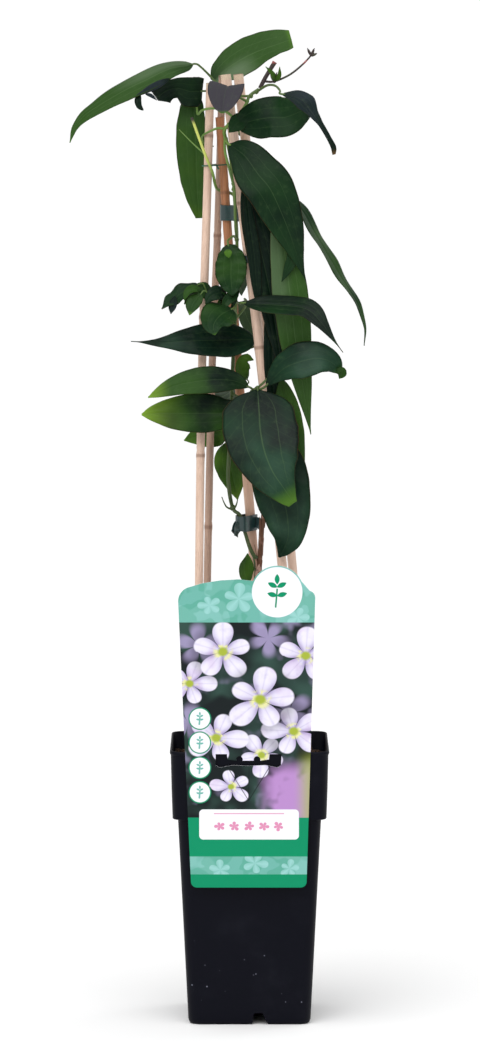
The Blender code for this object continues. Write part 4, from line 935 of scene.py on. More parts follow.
def leaf_finish(item, foliage):
    """A leathery upper side: cloudy green, three long veins, faint side veins and a dry margin."""
    deep, lit, tip, roughness, veins = leaf_colours(item.look, foliage)
    shade = Shade(f"{item.name}_upper")
    across, along = shade.along()
    place = shade.place()
    off_rib = abs(across * 2.0 - 1.0)
    cloud = shade.noise(place, 24.0, 2.0)
    fine = shade.noise(place, 230.0, 3.0, 0.55)
    rib = off_rib.rise(0.03, 0.006)
    side_rib = abs(off_rib - SIDE_RIB).rise(0.02, 0.004) * along.rise(0.95, 0.75)
    swell = abs(shade.math("FRACT", along * 11.0 - off_rib * 2.8) - 0.5)
    branch = swell.rise(0.46, 0.5) * off_rib.rise(0.02, 0.2)
    tint = shade.mix(cloud.rise(0.34, 0.66), deep, lit)
    # Painted shade: darker towards the base of each blade, where other leaves overlap it
    tint = shade.mix(along.rise(0.3, 0.0) * 0.5, tint, foliage.shade_green)
    # Painted sheen: a milky patch on one half of the blade, towards its base
    if item.look in PAINTED_SHEEN_LOOKS:
        painted_sheen = across.rise(0.35, 0.75) * along.rise(0.6, 0.3)
        tint = shade.mix(painted_sheen * PAINTED_SHEEN_LOOKS[item.look], tint, foliage.painted_sheen)
    # Painted highlight: a bluish sheen painted over the middle of each glossy blade
    if item.look in PAINTED_HIGHLIGHT_LOOKS:
        middle = along.rise(0.15, 0.6) * along.rise(0.95, 0.7) * off_rib.rise(1.0, 0.6)
        tint = shade.mix(middle * cloud.rise(0.3, 0.75) * 0.25, tint, foliage.painted_highlight)
    tint = shade.mix(fine.rise(0.5, 0.85) * 0.1, tint, foliage.rib_green)
    ripe = (along + (cloud - 0.5) * 0.3).rise(*item.tip)
    tint = shade.mix(ripe, tint, tip)
    tint = shade.mix(branch * (veins * 0.6), tint, foliage.rib_green)
    tint = shade.mix(side_rib * veins, tint, foliage.rib_green)
    tint = shade.mix(rib * (veins * 1.6), tint, foliage.rib_green)
    tint = shade.mix(off_rib.rise(0.965, 0.998) * 0.45, tint, foliage.margin)
    rough = cloud * 0.2 + fine * 0.06 + (roughness - 0.13)
    height = swell * -0.45 + side_rib * -0.3 + fine * 0.06 + cloud
    return shade.finish(tint, rough, height, 0.00025, 0.4, Specular_IOR_Level=0.08)


def underside_finish(look, foliage):
    """A dull leaf underside with raised paler veins."""
    shade = Shade(f"leaf_under_{look}")
    across, along = shade.along()
    place = shade.place()
    deep, lit = leaf_colours(look, foliage)[:2]
    # The grey look is a painted reflection on the upper side, so the underside keeps plain greens
    if look == "grey":
        deep, lit = foliage.dark_green, foliage.mid_green
    off_rib = abs(across * 2.0 - 1.0)
    mottle = shade.noise(place, 60.0, 4.0)
    side_rib = abs(off_rib - SIDE_RIB).rise(0.03, 0.01) * along.rise(0.97, 0.8)
    rib = off_rib.rise(0.05, 0.015) + side_rib
    tint = shade.mix(mottle.rise(0.2, 0.8), deep, lit)
    tint = shade.mix(0.4, tint, foliage.underside)
    tint = shade.mix(rib * 0.4, tint, foliage.rib_green)
    return shade.finish(tint, 0.58 + mottle * 0.2, rib + mottle * 0.3, 0.0003, 0.5,
                        Specular_IOR_Level=0.2)


def edge_reach(item, t, side):
    """How far an edge lies from the midrib in millimetres, at the share t of its length."""
    if item.profile:
        column = 1 if side > 0 else 2
        for before, after in zip(item.profile, item.profile[1:]):
            if t <= after[0]:
                part = (t - before[0]) / (after[0] - before[0])
                return before[column] + (after[column] - before[column]) * part
    if t < item.widest:
        reach = math.sin(math.pi / 2 * t / item.widest) ** item.base_power
    else:
        past = (t - item.widest) / (1 - item.widest)
        reach = max(0.0, math.cos(math.pi / 2 * past)) ** item.tip_power
    return max(item.width / 2 * reach, NARROWEST_REACH)


def half_width(item, t, side):
    """The reach of an edge with its corners eased and a slight unevenness, in millimetres."""
    near = [min(max(t + step, 0.0), 1.0) for step in (-0.015, 0.0, 0.015)]
    reach = sum(edge_reach(item, place, side) for place in near) / len(near)
    uneven = noise.noise(Vector((t * 9, side * 5, item.width)))
    return reach * (1 + 0.025 * uneven)


def blade_point(item, path, u, t, groove):
    """A point of a blade and the way its upper side looks there; u runs -1 to 1, t 0 to 1."""
    heading = path.heading(t)
    face = Vector(item.face).lerp(Vector(item.face_tip), t)
    side = heading.cross(face).normalized()
    normal = side.cross(heading).normalized()
    half = half_width(item, t, 1 if u > 0 else -1) * MM
    far = abs(u)
    rise = half * ((item.fold + KEEL) * far + item.cup * u * u)
    slender = min(1.0, half / 0.006)
    ripple = math.sin(math.tau * item.waves * t + (1.9 if u > 0 else 0.4))
    rise += item.wave * MM * ripple * far * far * slender
    rise -= groove * math.exp(-((u / GROOVE_WIDTH) ** 2)) * slender
    rise -= groove * 0.5 * math.exp(-(((far - SIDE_RIB) / GROOVE_WIDTH) ** 2)) * slender
    point = path.at(t) + side * half * u + normal * rise
    point += normal * wobble(point, 60.0, 0.0008) * slender
    return point, normal


def make_blade(item, foliage, undersides):
    """One leaf: a thin closed blade with a groove along its midrib, ripples and a fine edge."""
    path = Path(item.spine)
    across = 20 if item.width > WIDE_BLADE else 12
    rows = max(16, round(path.length / foliage.row))
    bm = bmesh.new()
    grid = bm.loops.layers.uv.new("along")
    sheets = ([], [])
    for row in range(rows + 1):
        t = row / rows
        upper, lower = [], []
        for column in range(across + 1):
            u = column / across * 2 - 1
            point, normal = blade_point(item, path, u, t, foliage.groove)
            depth = foliage.thickness / 2 * (1 - abs(u) ** 6)
            upper.append(bm.verts.new(point + normal * depth))
            on_edge = column in (0, across)
            lower.append(upper[-1] if on_edge else bm.verts.new(point - normal * depth))
        sheets[0].append(upper)
        sheets[1].append(lower)
    for index, sheet in enumerate(sheets):
        for row in range(rows):
            for column in range(across):
                corners = [(row, column), (row, column + 1), (row + 1, column + 1),
                           (row + 1, column)]
                if index:
                    corners.reverse()
                face = bm.faces.new([sheet[r][c] for r, c in corners])
                face.material_index = index
                for corner, (r, c) in zip(face.loops, corners):
                    corner[grid].uv = (c / across, r / rows)
    for row, far in ((0, 0.0), (rows, 1.0)):
        ends = list(range(across + 1))
        rim = [sheets[0][row][c] for c in ends] + [sheets[1][row][c] for c in ends[-2:0:-1]]
        cap = bm.faces.new(rim if row else rim[::-1])
        for corner in cap.loops:
            corner[grid].uv = (0.5, far)
    bmesh.ops.recalc_face_normals(bm, faces=bm.faces)
    if item.look not in undersides:
        undersides[item.look] = underside_finish(item.look, foliage)
    blade = new_object(item.name.replace("leaf_", "blade_"), bm,
                       [leaf_finish(item, foliage), undersides[item.look]])
    slot = "young_leaf" if item.look == "fresh" else "leaf"
    packed = [item.name] if item in LEAVES else []
    settle(blade, slot, *packed)


class MakeLeaves(bpy.types.Operator):
    """Grow a finely shaped leaf in the place of every packed leaf, and the scraps among them"""

    bl_idname = "clematis.leaves"
    bl_label = "Leaves"

    def execute(self, context):
        undersides = {}
        for item in LEAVES + SCRAPS:
            make_blade(item, context.scene.clematis_foliage, undersides)
        return {"FINISHED"}


def stem_finish(foliage):
    """Green stems: olive and ridged low down, light green higher up, lightest between 0.66 and 0.69
    m and olive again above.
    """
    shade = Shade("stem_skin")
    place = shade.place()
    height = shade.axes(place)[2]
    streaks = shade.noise(shade.stretched(place, (1.0, 1.0, 0.08)), 1500.0, 2.0)
    mottle = shade.noise(place, 90.0, 3.0)
    tint = shade.mix(height.rise(0.4, 0.62), foliage.stem_olive, foliage.stem_green)
    tint = shade.mix(height.rise(0.69, 0.705) * 0.75, tint, foliage.stem_olive)
    tint = shade.mix(height.rise(0.66, 0.64) * 0.5, tint, foliage.stem_olive)
    tint = shade.mix(mottle.rise(0.35, 0.8) * 0.4, tint, foliage.mid_green)
    tint = shade.mix(streaks.rise(0.55, 0.8) * 0.4, tint, foliage.margin)
    return shade.finish(tint, 0.42 + mottle * 0.2, streaks, 0.00012, 0.6)


def stub_finish(foliage):
    """The cut side shoot: yellow-green, brown at its dry end."""
    shade = Shade("stub_skin")
    along = shade.along()[1]
    mottle = shade.noise(shade.place(), 160.0, 3.0)
    tint = shade.mix(along.rise(0.45, 0.72), foliage.stem_green, foliage.stub_yellow)
    tint = shade.mix(along.rise(0.93, 0.985), tint, foliage.shoot_brown)
    return shade.finish(tint, 0.45 + mottle * 0.15, mottle, 0.0001, 0.5)


def shoot_finish(foliage):
    """Purple-brown young wood, reddish where it was cut."""
    shade = Shade("shoot_skin")
    place = shade.place()
    height = shade.axes(place)[2]
    mottle = shade.noise(place, 120.0, 4.0)
    tint = shade.mix(mottle.rise(0.45, 0.75) * 0.5, foliage.shoot_brown, foliage.stem_olive)
    tint = shade.mix(height.rise(0.7235, 0.7255) * height.rise(0.7275, 0.7265),
                     tint, foliage.shoot_red)
    return shade.finish(tint, 0.5 + mottle * 0.2, mottle, 0.0001, 0.6)


def blade_base(item):
    """Where a blade starts, and which way it heads there."""
    path = Path(item.spine)
    return path.at(0), path.heading(0.02)


def add_node(bm, point, radius):
    """A knobbly swelling of the stem where a stalk leaves it."""
    made = bmesh.ops.create_icosphere(bm, subdivisions=3, radius=radius * MM,
                                      matrix=Matrix.Translation(mm(point)))
    for vert in made["verts"]:
        offset = vert.co - mm(point)
        vert.co = mm(point) + offset * (1 + wobble(vert.co, 900.0, 0.25))


class MakeStems(bpy.types.Operator):
    """Make the green stems, tendrils and leaf stalks, and the cut side shoot"""

    bl_idname = "clematis.stems"
    bl_label = "Stems and stalks"

    def execute(self, context):
        foliage = context.scene.clematis_foliage
        bm = bmesh.new()
        add_tube(bm, MAIN_STEM, lambda t: 1.5 - 0.2 * t + 0.08 * math.sin(t * 95), 14, 1.8)
        add_tube(bm, SIDE_STEM, taper(1.2, 1.0), 12, 1.8)
        for route, radius in TENDRILS:
            add_tube(bm, route, taper(radius, radius * 0.45), 10, 1.2)
        for item in LEAVES:
            base, heading = blade_base(item)
            last = (base + heading * 0.0015) / MM
            before = (base - heading * 0.003) / MM
            route = [*item.stalk, tuple(before), tuple(last)]
            radius = 1.0 if item.width > WIDE_BLADE else 0.7
            add_tube(bm, route, taper(radius, radius * 0.75), 10, 1.5)
            add_node(bm, item.stalk[0], radius * 1.75)
        add_node(bm, MAIN_STEM[5], 2.3)
        stems = new_object("stems_green", bm, [stem_finish(foliage)])
        settle(stems, "green_stem", "green_stems")

        bm = bmesh.new()
        add_tube(bm, CUT_STUB, taper(1.2, 1.0), 12, 1.5)
        settle(new_object("stem_cut_stub", bm, [stub_finish(foliage)]), "green_stem")
        return {"FINISHED"}


class MakeTopShoot(bpy.types.Operator):
    """Make the cut stem end at the very top, and the thin shoot with its buds"""

    bl_idname = "clematis.top_shoot"
    bl_label = "Top shoot"

    def execute(self, context):
        foliage = context.scene.clematis_foliage
        bm = bmesh.new()
        add_tube(bm, TOP_CUT_STEM, lambda t: 1.6 + 0.25 * t**8, 14, 1.0)
        add_tube(bm, TOP_THIN_SHOOT, taper(0.9, 0.65), 10, 1.5)
        for route in TOP_BUDS:
            add_tube(bm, route, bud_radius(1.05), 10, 0.6)
        add_node(bm, TOP_THIN_SHOOT[-1], 1.3)
        add_node(bm, TOP_THIN_SHOOT[1], 1.4)
        shoot = new_object("shoot_top", bm, [shoot_finish(foliage)])
        settle(shoot, "brown_shoot", "top_shoot")
        return {"FINISHED"}


def cane_finish(cane, canes):
    """Bamboo: long fibres, dark rings at the joints and freckles."""
    # Painted shade: the cane at the back left takes tan and dull, a darker copy of the other corner
    # canes' colours
    light, dark = {"cane_centre": (canes.orange, canes.umber),
                   "cane_back_left": (canes.tan, canes.dull)}.get(cane.name,
                                                                 (canes.pale, canes.tan))
    shade = Shade(f"{cane.name}_skin")
    place = shade.place()
    along = shade.along()[1]
    fibres = shade.noise(shade.stretched(place, (1.0, 1.0, 0.012)), 1400.0, 3.0, 0.7)
    patches = shade.noise(shade.stretched(place, (1.0, 1.0, 0.25)), 60.0, 3.0)
    freckles = shade.noise(place, 700.0, 2.0)
    tint = shade.mix(fibres.rise(0.35, 0.75) * 0.6, light, dark)
    tint = shade.mix(patches.rise(0.5, 0.8) * 0.45, tint, dark)
    # Painted light: low down the centre cane turns toward the pale sun-side colour
    if cane.name == "cane_centre":
        tint = shade.mix(along.rise(0.68, 0.5) * 0.6, tint, canes.pale)
    tint = shade.mix(freckles.rise(0.68, 0.8) * 0.5, tint, canes.umber)
    rings = None
    for joint in cane.joints:
        ring = abs(along - joint).rise(0.0035, 0.0008)
        rings = ring if rings is None else rings + ring
    tint = shade.mix(rings * 0.55, tint, canes.umber)
    return shade.finish(tint, 0.4 + fibres * 0.25, fibres + rings * -0.8, 0.00015, 0.6)


def cut_finish(canes):
    """The pale fibrous end of a cut cane, with painted shade on ends lower than 0.69 m: the centre
    cane's end and its hollow.
    """
    shade = Shade("cane_end")
    place = shade.place()
    pores = shade.cells(place, 2600.0).rise(0.1, 0.5)
    height = shade.axes(place)[2]
    tint = shade.mix(pores * 0.5 + 0.25, canes.umber, canes.cut)
    # Painted shade: darkens a cut end lying below 0.68 to 0.69 m, as the centre cane's does
    tint = shade.mix(height.rise(0.69, 0.68) * 0.6, tint, canes.umber)
    return shade.finish(tint, 0.75, pores, 0.0001, 0.6)


def cane_radius(cane):
    """The cane's radius along its length, swelling at each joint with a groove above it."""
    def radius(t):
        reach = cane.foot_radius + (cane.top_radius - cane.foot_radius) * t
        for joint in cane.joints:
            reach += 0.3 * math.exp(-(((t - joint) / 0.004) ** 2))
            reach -= 0.22 * math.exp(-(((t - joint - 0.0065) / 0.002) ** 2))
        return reach
    return radius


def make_cane(cane, canes, end_finish):
    """One bamboo cane, with a hollow in its cut top."""
    path = Path(cane.route)
    sides = canes.sides
    bm = bmesh.new()
    oval = random.Random(cane.name).uniform(0, math.tau)
    add_tube(bm, cane.route, cane_radius(cane), sides, 1.7,
             bend=lambda t, angle: 1 + 0.025 * math.cos(2 * angle + oval))
    bm.faces.ensure_lookup_table()
    cap = bm.faces[-1]
    cap.material_index = 1
    inset = bmesh.ops.inset_individual(bm, faces=[cap], thickness=0.0012)
    for face in inset["faces"]:
        face.material_index = 1
    hollow = path.heading(1) * -0.004
    pushed = bmesh.ops.extrude_discrete_faces(bm, faces=[cap])
    for face in pushed["faces"]:
        for vert in face.verts:
            vert.co += hollow
        face.material_index = 1
    rod = new_object(cane.name.replace("cane_", "bamboo_"), bm,
                     [cane_finish(cane, canes), end_finish])
    sharpen(rod, 50)
    settle(rod, "bamboo", cane.name)


class MakeCanes(bpy.types.Operator):
    """Make the five bamboo canes with their joints and cut tops"""

    bl_idname = "clematis.canes"
    bl_label = "Bamboo canes"

    def execute(self, context):
        canes = context.scene.clematis_canes
        end_finish = cut_finish(canes)
        for cane in CANES:
            make_cane(cane, canes, end_finish)
        return {"FINISHED"}


def wire_finish(canes):
    shade = Shade("wire_coat")
    grain = shade.noise(shade.place(), 900.0, 2.0)
    tint = shade.mix(grain.rise(0.4, 0.75), canes.wire, canes.tape)
    return shade.finish(tint, 0.3 + grain * 0.25, grain, 0.00008, 0.5)


def tape_finish(canes):
    """Glossy plastic tape, scuffed and faintly ribbed."""
    shade = Shade("tape_sheet")
    place = shade.place()
    scuff = shade.noise(place, 260.0, 4.0, 0.6)
    ribs = shade.noise(shade.stretched(place, (0.2, 0.2, 1.0)), 1600.0, 1.0)
    tint = shade.mix(scuff.rise(0.55, 0.8) * 0.5, canes.tape, canes.wire)
    return shade.finish(tint, 0.2 + scuff * 0.25, ribs + scuff, 0.00012, 0.45, Coat_Weight=0.3)


def make_tape(tape, material):
    """Tape pulled round rods that stand close together, with its loose ends as short tabs."""
    loop = wrap(tape.rods, TAPE_CLEARANCE)
    bm = bmesh.new()
    sheets = []
    for offset in (0.0, tape.thickness):
        sheet = []
        for row in range(TAPE_ROWS + 1):
            height = tape.low + (tape.high - tape.low) * row / TAPE_ROWS
            ring = []
            for index, (x, y) in enumerate(loop):
                before, after = loop[index - 1], loop[(index + 1) % len(loop)]
                out = Vector((after[1] - before[1], before[0] - after[0], 0)).normalized()
                sway = 0.35 * math.sin(index * 0.45 + row * 0.3)
                point = Vector((x, y, height + sway)) + out * offset
                ring.append(bm.verts.new(mm(point)))
            sheet.append(ring)
        sheets.append(sheet)
    for sheet in sheets:
        for lower, upper in zip(sheet, sheet[1:]):
            skin(bm, lower, upper)
    for row in (0, TAPE_ROWS):
        skin(bm, sheets[0][row], sheets[1][row])
    for route, width in tape.ends:
        add_ribbon(bm, route, width, tape.thickness)
    bmesh.ops.recalc_face_normals(bm, faces=bm.faces)
    band = new_object(tape.name.replace("tie_", "band_"), bm, [material])
    sharpen(band, 50)
    settle(band, "tie_tape", tape.name)


def add_ribbon(bm, route, width, thickness, lean=(0, 0, 1), pointed=0.0):
    """A short flat strip along a route, standing on edge; pointed narrows its far end."""
    path = Path(route)
    rings = 8
    upright = Vector(lean)
    loops = []
    for ring in range(rings + 1):
        t = ring / rings
        heading = path.heading(t)
        out = heading.cross(upright).normalized()
        high = out.cross(heading).normalized()
        reach = width / 2 * (1 - pointed * t**1.5)
        corners = ((-1, -1), (1, -1), (1, 1), (-1, 1))
        loops.append([
            bm.verts.new(path.at(t) + (out * a * thickness / 2 + high * b * reach) * MM)
            for a, b in corners
        ])
    for lower, upper in zip(loops, loops[1:]):
        skin(bm, lower, upper)
    bm.faces.new(loops[0][::-1])
    bm.faces.new(loops[-1])


class MakeTies(bpy.types.Operator):
    """Tie the canes and stems: a coated wire near the top and three plastic tapes"""

    bl_idname = "clematis.ties"
    bl_label = "Ties"

    def execute(self, context):
        canes = context.scene.clematis_canes
        sheet = tape_finish(canes)
        for tape in TAPES:
            make_tape(tape, sheet)

        loop = wrap(WIRE_RODS, WIRE_CLEARANCE)
        ring = [(x, y, WIRE_HEIGHT + WIRE_SLOPE * (x + 26)) for x, y in loop]
        bm = bmesh.new()
        add_tube(bm, ring + ring[:2], WIRE_RADIUS, 10, 1.0)
        for phase in (0.0, math.pi):
            twist = []
            for step in range(TWIST_STEPS):
                angle = phase + step * TWIST_TURN
                twist.append((-24.9 + 0.13 * step + TWIST_REACH * math.cos(angle),
                              -9.0 - 0.26 * step,
                              648.2 - 0.24 * step + TWIST_REACH * math.sin(angle)))
            add_tube(bm, twist, 0.45, 8, 0.5)
        wire = new_object("wire_top", bm, [wire_finish(canes)])
        settle(wire, "tie_wire", "tie_wire_top")
        return {"FINISHED"}


def bark_finish(canes):
    """Shaggy bark: long dark furrows, pale papery ridges."""
    shade = Shade("bark_strips")
    place = shade.place()
    furrows = shade.noise(shade.stretched(place, (1.0, 1.0, 0.07)), 1100.0, 4.0, 0.65)
    patches = shade.noise(place, 130.0, 3.0)
    tint = shade.mix(furrows.rise(0.42, 0.66), canes.umber, canes.bark)
    tint = shade.mix(patches.rise(0.5, 0.72) * furrows.rise(0.4, 0.6), tint, canes.bark_pale)
    return shade.finish(tint, 0.8, furrows, 0.0006, 0.8)


def bud_finish(canes, foliage):
    shade = Shade("bud_scales")
    scales = shade.cells(shade.place(), 750.0).rise(0.1, 0.6)
    tint = shade.mix(scales, foliage.shoot_brown, canes.bark_pale)
    return shade.finish(tint, 0.65, scales, 0.0004, 0.7)


class MakeWoodyStem(bpy.types.Operator):
    """Make the old stem with its peeling bark, and the bud beside it"""

    bl_idname = "clematis.woody_stem"
    bl_label = "Old stem"

    def execute(self, context):
        canes = context.scene.clematis_canes
        foliage = context.scene.clematis_foliage
        bm = bmesh.new()

        def furrowed(t, angle):
            return 1 + 0.1 * math.sin(5 * angle + 9 * t) + 0.06 * math.sin(9 * angle - 31 * t)

        add_tube(bm, WOODY_STEM, lambda t: 2.35 - 0.9 * t**3, 24, 1.2, bend=furrowed)
        draw = random.Random(7)
        path = Path(WOODY_STEM)
        for strip in range(BARK_STRIPS):
            start = 0.66 + 0.32 * strip / BARK_STRIPS
            angle = strip * 2.4
            root = path.at(start) / MM
            out = Vector((math.cos(angle), math.sin(angle), 0))
            flare = draw.uniform(0.8, 2.8)
            length = draw.uniform(9, 17)
            route = [tuple(root + out * 1.6), tuple(root + out * 2.3 + Vector((0, 0, length / 2))),
                     tuple(root + out * (2.2 + flare) + Vector((0, 0, length)))]
            add_ribbon(bm, route, draw.uniform(1.8, 3.2), 0.3,
                       lean=tuple(Vector((-out.y, out.x, 0))), pointed=0.85)
        bmesh.ops.recalc_face_normals(bm, faces=bm.faces)
        stem = new_object("stem_woody", bm, [bark_finish(canes)])
        settle(stem, "bark", "woody_stem")

        bm = bmesh.new()
        add_tube(bm, BARK_BUD, bud_radius(2.6), 16, 0.6,
                 bend=lambda t, angle: 1 + 0.08 * math.sin(4 * angle + 6 * t))
        settle(new_object("bud_low", bm, [bud_finish(canes, foliage)]), "bark")
        return {"FINISHED"}


def blossom(shade, x, z, place, blur=0.03):
    """Masks of one printed flower: the whole of it, how near a petal's edge, and how far out."""
    centre_x, centre_z, radius, turn = place
    aside = x - centre_x
    up = (z - centre_z) * 1.12
    out = shade.math("SQRT", aside * aside + up * up) / radius
    turned = shade.math("ARCTAN2", up, aside) * (PETALS / math.tau) + (turn + PETALS)
    phase = shade.math("FRACT", turned)
    length = 0.92 - 0.1 * shade.math("SINE", (turned - phase) * 2.4 + turn * 9.0)
    off_middle = abs(phase - 0.5) * 2.0
    edge = (1.0 - off_middle**2.2) ** 0.5 * length
    return (edge - out).rise(-blur, blur), off_middle, out


def print_blossoms(shade, ground, x, z, places, label):
    """Lays flowers on the picture, one over another, each with a soft shadow round it."""
    streaks = shade.noise(shade.place(), 210.0, 2.0)
    cloud = shade.noise(shade.place(), 75.0, 1.0)
    for place in places:
        mask, off_middle, out = blossom(shade, x, z, place)
        ground = shade.mix(out.rise(1.2, 0.75) * 0.5, ground, label.ground)
        fold = off_middle.rise(0.25, 1.0) * 0.75 + off_middle.rise(0.12, 0.0) * 0.25
        petal = shade.mix(fold + out.rise(0.6, 0.15) * 0.45 + streaks.rise(0.5, 0.8) * 0.2,
                          label.petal, label.petal_shade)
        petal = shade.mix(cloud.rise(0.52, 0.7) * 0.25, petal, label.lilac)
        thread = streaks.rise(0.46, 0.54) * out.rise(0.36, 0.2) * 0.9
        petal = shade.mix(thread, petal, label.stamen)
        petal = shade.mix(out.rise(0.2, 0.1), petal, label.throat)
        ground = shade.mix(mask, ground, petal)
    return ground


def inside(x, z, centre_x, centre_z, half_x, half_z, corner):
    """1 inside a rounded rectangle, 0 outside it."""
    shade = x.shade
    over_x = shade.math("MAXIMUM", abs(x - centre_x) - (half_x - corner), 0.0)
    over_z = shade.math("MAXIMUM", abs(z - centre_z) - (half_z - corner), 0.0)
    reach = shade.math("SQRT", over_x * over_x + over_z * over_z)
    return reach.rise(corner + 0.15, corner - 0.15)


def disc(x, z, centre_x, centre_z, radius):
    aside, up = x - centre_x, z - centre_z
    return below(x.shade.math("SQRT", aside * aside + up * up), radius)


def above(value, edge):
    """1 where a value is over a printed edge, 0 where it is under it."""
    return value.rise(edge - PRINT_EDGE, edge + PRINT_EDGE)


def below(value, edge):
    return value.rise(edge + PRINT_EDGE, edge - PRINT_EDGE)


def line(x, z, start, end, width):
    """1 on a thin straight line between two places, 0 away from it."""
    shade = x.shade
    run = Vector(end) - Vector(start)
    aside, up = x - start[0], z - start[1]
    share_along = (aside * run.x + up * run.y) / run.length_squared
    share_along = shade.math("MINIMUM", shade.math("MAXIMUM", share_along, 0.0), 1.0)
    off_x, off_z = aside - share_along * run.x, up - share_along * run.y
    return shade.math("SQRT", off_x * off_x + off_z * off_z).rise(width, width * 0.4)


def sprig(x, z, centre_x, centre_z, reach):
    """A plain twig with five small leaves, as a mask."""
    shade = x.shade
    foot = (centre_x - reach * 0.1, centre_z - reach)
    mask = line(x, z, foot, (centre_x, centre_z + reach * 0.2), TWIG_WIDTH)
    for turn, far in ((90, 0.55), (25, 0.35), (155, 0.35), (15, -0.25), (165, -0.25)):
        heading = Vector((math.cos(math.radians(turn)), math.sin(math.radians(turn))))
        middle = Vector((centre_x, centre_z + reach * far)) + heading * reach * 0.34
        aside, up = x - middle.x, z - middle.y
        lengthwise = aside * heading.x + up * heading.y
        crosswise = aside * heading.y - up * heading.x
        lens = abs(crosswise) / (reach * 0.17) + (lengthwise / (reach * 0.36)) ** 2.0
        mask = shade.math("MAXIMUM", mask, lens.rise(1.06, 0.94))
    return mask


def label_finish(label):
    """The printed front: a generic flower picture between mint and emerald bands, plain badges."""
    shade = Shade("label_print")
    place = shade.place()
    parts = shade.axes(place)
    x, z = parts[0] * 1000.0, parts[2] * 1000.0
    blur = shade.noise(place, 55.0, 2.0)
    leaves = shade.noise(place, 42.0, 1.0)
    picture = shade.mix(leaves.rise(0.42, 0.62), label.ground, label.ground_green)
    picture = shade.mix(blur.rise(0.55, 0.75) * 0.6, picture, label.petal_shade)
    for flower in FAR_BLOSSOMS:
        mask = blossom(shade, x, z, flower, 0.25)[0]
        picture = shade.mix(mask * 0.75, picture, label.petal_shade)
    corner = x.rise(4.0, 20.0) * z.rise(208.0, 192.0)
    picture = shade.mix(corner * blur.rise(0.3, 0.5), picture, label.lilac)
    picture = shade.mix(x.rise(32.0, 46.0) * z.rise(218.0, 196.0) * 0.7, picture, label.throat)
    picture = print_blossoms(shade, picture, x, z, BLOSSOMS, label)

    mint = shade.mix(leaves.rise(0.46, 0.5) * 0.35, label.mint, label.mint_pale)
    mint = shade.mix(blur.rise(0.52, 0.49) * 0.25, mint, label.emerald)
    for flower in BAND_BLOSSOMS + STRIP_BLOSSOMS:
        mask, off_middle, _ = blossom(shade, x, z, flower)
        mint = shade.mix(mask * (0.95 - 0.5 * off_middle), mint, label.mint_pale)
    tint = shade.mix(above(z, PICTURE[1]), picture, mint)
    tint = shade.mix(below(z, PICTURE[0]), tint, label.emerald)
    tint = shade.mix(above(z, STRIP[0]) * below(z, STRIP[1]), tint, mint)
    tint = shade.mix(inside(x, z, *PANEL, 3.0), tint, label.white)
    rule = inside(x, z, PANEL[0], PANEL[1] + 8.2, PANEL[2] - 11, 0.4, 0.3)
    tint = shade.mix(rule * 0.7, tint, label.pink)
    for step in range(5):
        spot = (PANEL[0] - 22 + 11 * step, PANEL[1] - 1.4, 4.2, 0.2 * step)
        tint = shade.mix(blossom(shade, x, z, spot)[0] * 0.8, tint, label.pink)
    for centre_z in BADGES:
        tint = shade.mix(disc(x, z, BADGE_X, centre_z, BADGE_RADIUS), tint, label.emerald)
        tint = shade.mix(disc(x, z, BADGE_X, centre_z, BADGE_RADIUS - 0.9), tint, label.white)
        tint = shade.mix(sprig(x, z, BADGE_X, centre_z, 4.2), tint, label.mint)
    tint = shade.mix(disc(x, z, *DISC_CENTRE, DISC_RADIUS - 1.0), tint, label.white)
    tint = shade.mix(sprig(x, z, *DISC_CENTRE, 11.0), tint, label.emerald)
    # Painted shade: the die-cut score lines are drawn dark, as the shade in the cuts, and pressed
    # in as grooves
    left, right, tip = SCORE_LINES
    score_line_shade = line(x, z, left, tip, 0.5) + line(x, z, right, tip, 0.5)
    score_line_shade = score_line_shade + line(x, z, (-0.4, 198), tip, 0.4)
    tint = shade.mix(score_line_shade * 0.75, tint, label.ground)
    sheen = shade.noise(place, 900.0, 1.0)
    return shade.finish(tint, 0.26 + sheen * 0.1, score_line_shade * -1.0 + sheen * 0.04, 0.0002, 0.4,
                        Specular_IOR_Level=0.14)


def label_back_finish(label):
    shade = Shade("label_back")
    fibres = shade.noise(shade.place(), 600.0, 3.0)
    tint = shade.mix(fibres.rise(0.3, 0.7) * 0.12, label.white, label.ground_green)
    return shade.finish(tint, 0.45 + fibres * 0.1, fibres, 0.00005, 0.4)


def label_outline():
    """The tag's edge: round lower corners, soft shoulders and a round bulge at the top right."""
    low = LABEL_FOOT + LABEL_CORNER
    foot_left = (LABEL_FOOT_MIDDLE - LABEL_FOOT_HALF + LABEL_CORNER, low)
    foot_right = (LABEL_FOOT_MIDDLE + LABEL_FOOT_HALF - LABEL_CORNER, low)
    top_left = (LABEL_TOP_MIDDLE - LABEL_TOP_HALF + LABEL_SHOULDER, LABEL_SHOULDER_HEIGHT)
    outline = arc(foot_left, LABEL_CORNER, 270, 180, 10)
    outline += arc(top_left, LABEL_SHOULDER, 180, 100, 12)
    outline += [(-36, LABEL_TOP - 3.1), (-22, LABEL_TOP - 0.8), (-8, LABEL_TOP)]
    outline += arc(DISC_CENTRE, DISC_RADIUS, 155, 25, 36)
    outline += arc(RIGHT_SHOULDER_CENTRE, RIGHT_SHOULDER, 75, 0, 8)
    outline += arc(foot_right, LABEL_CORNER, 0, -90, 10)
    return outline


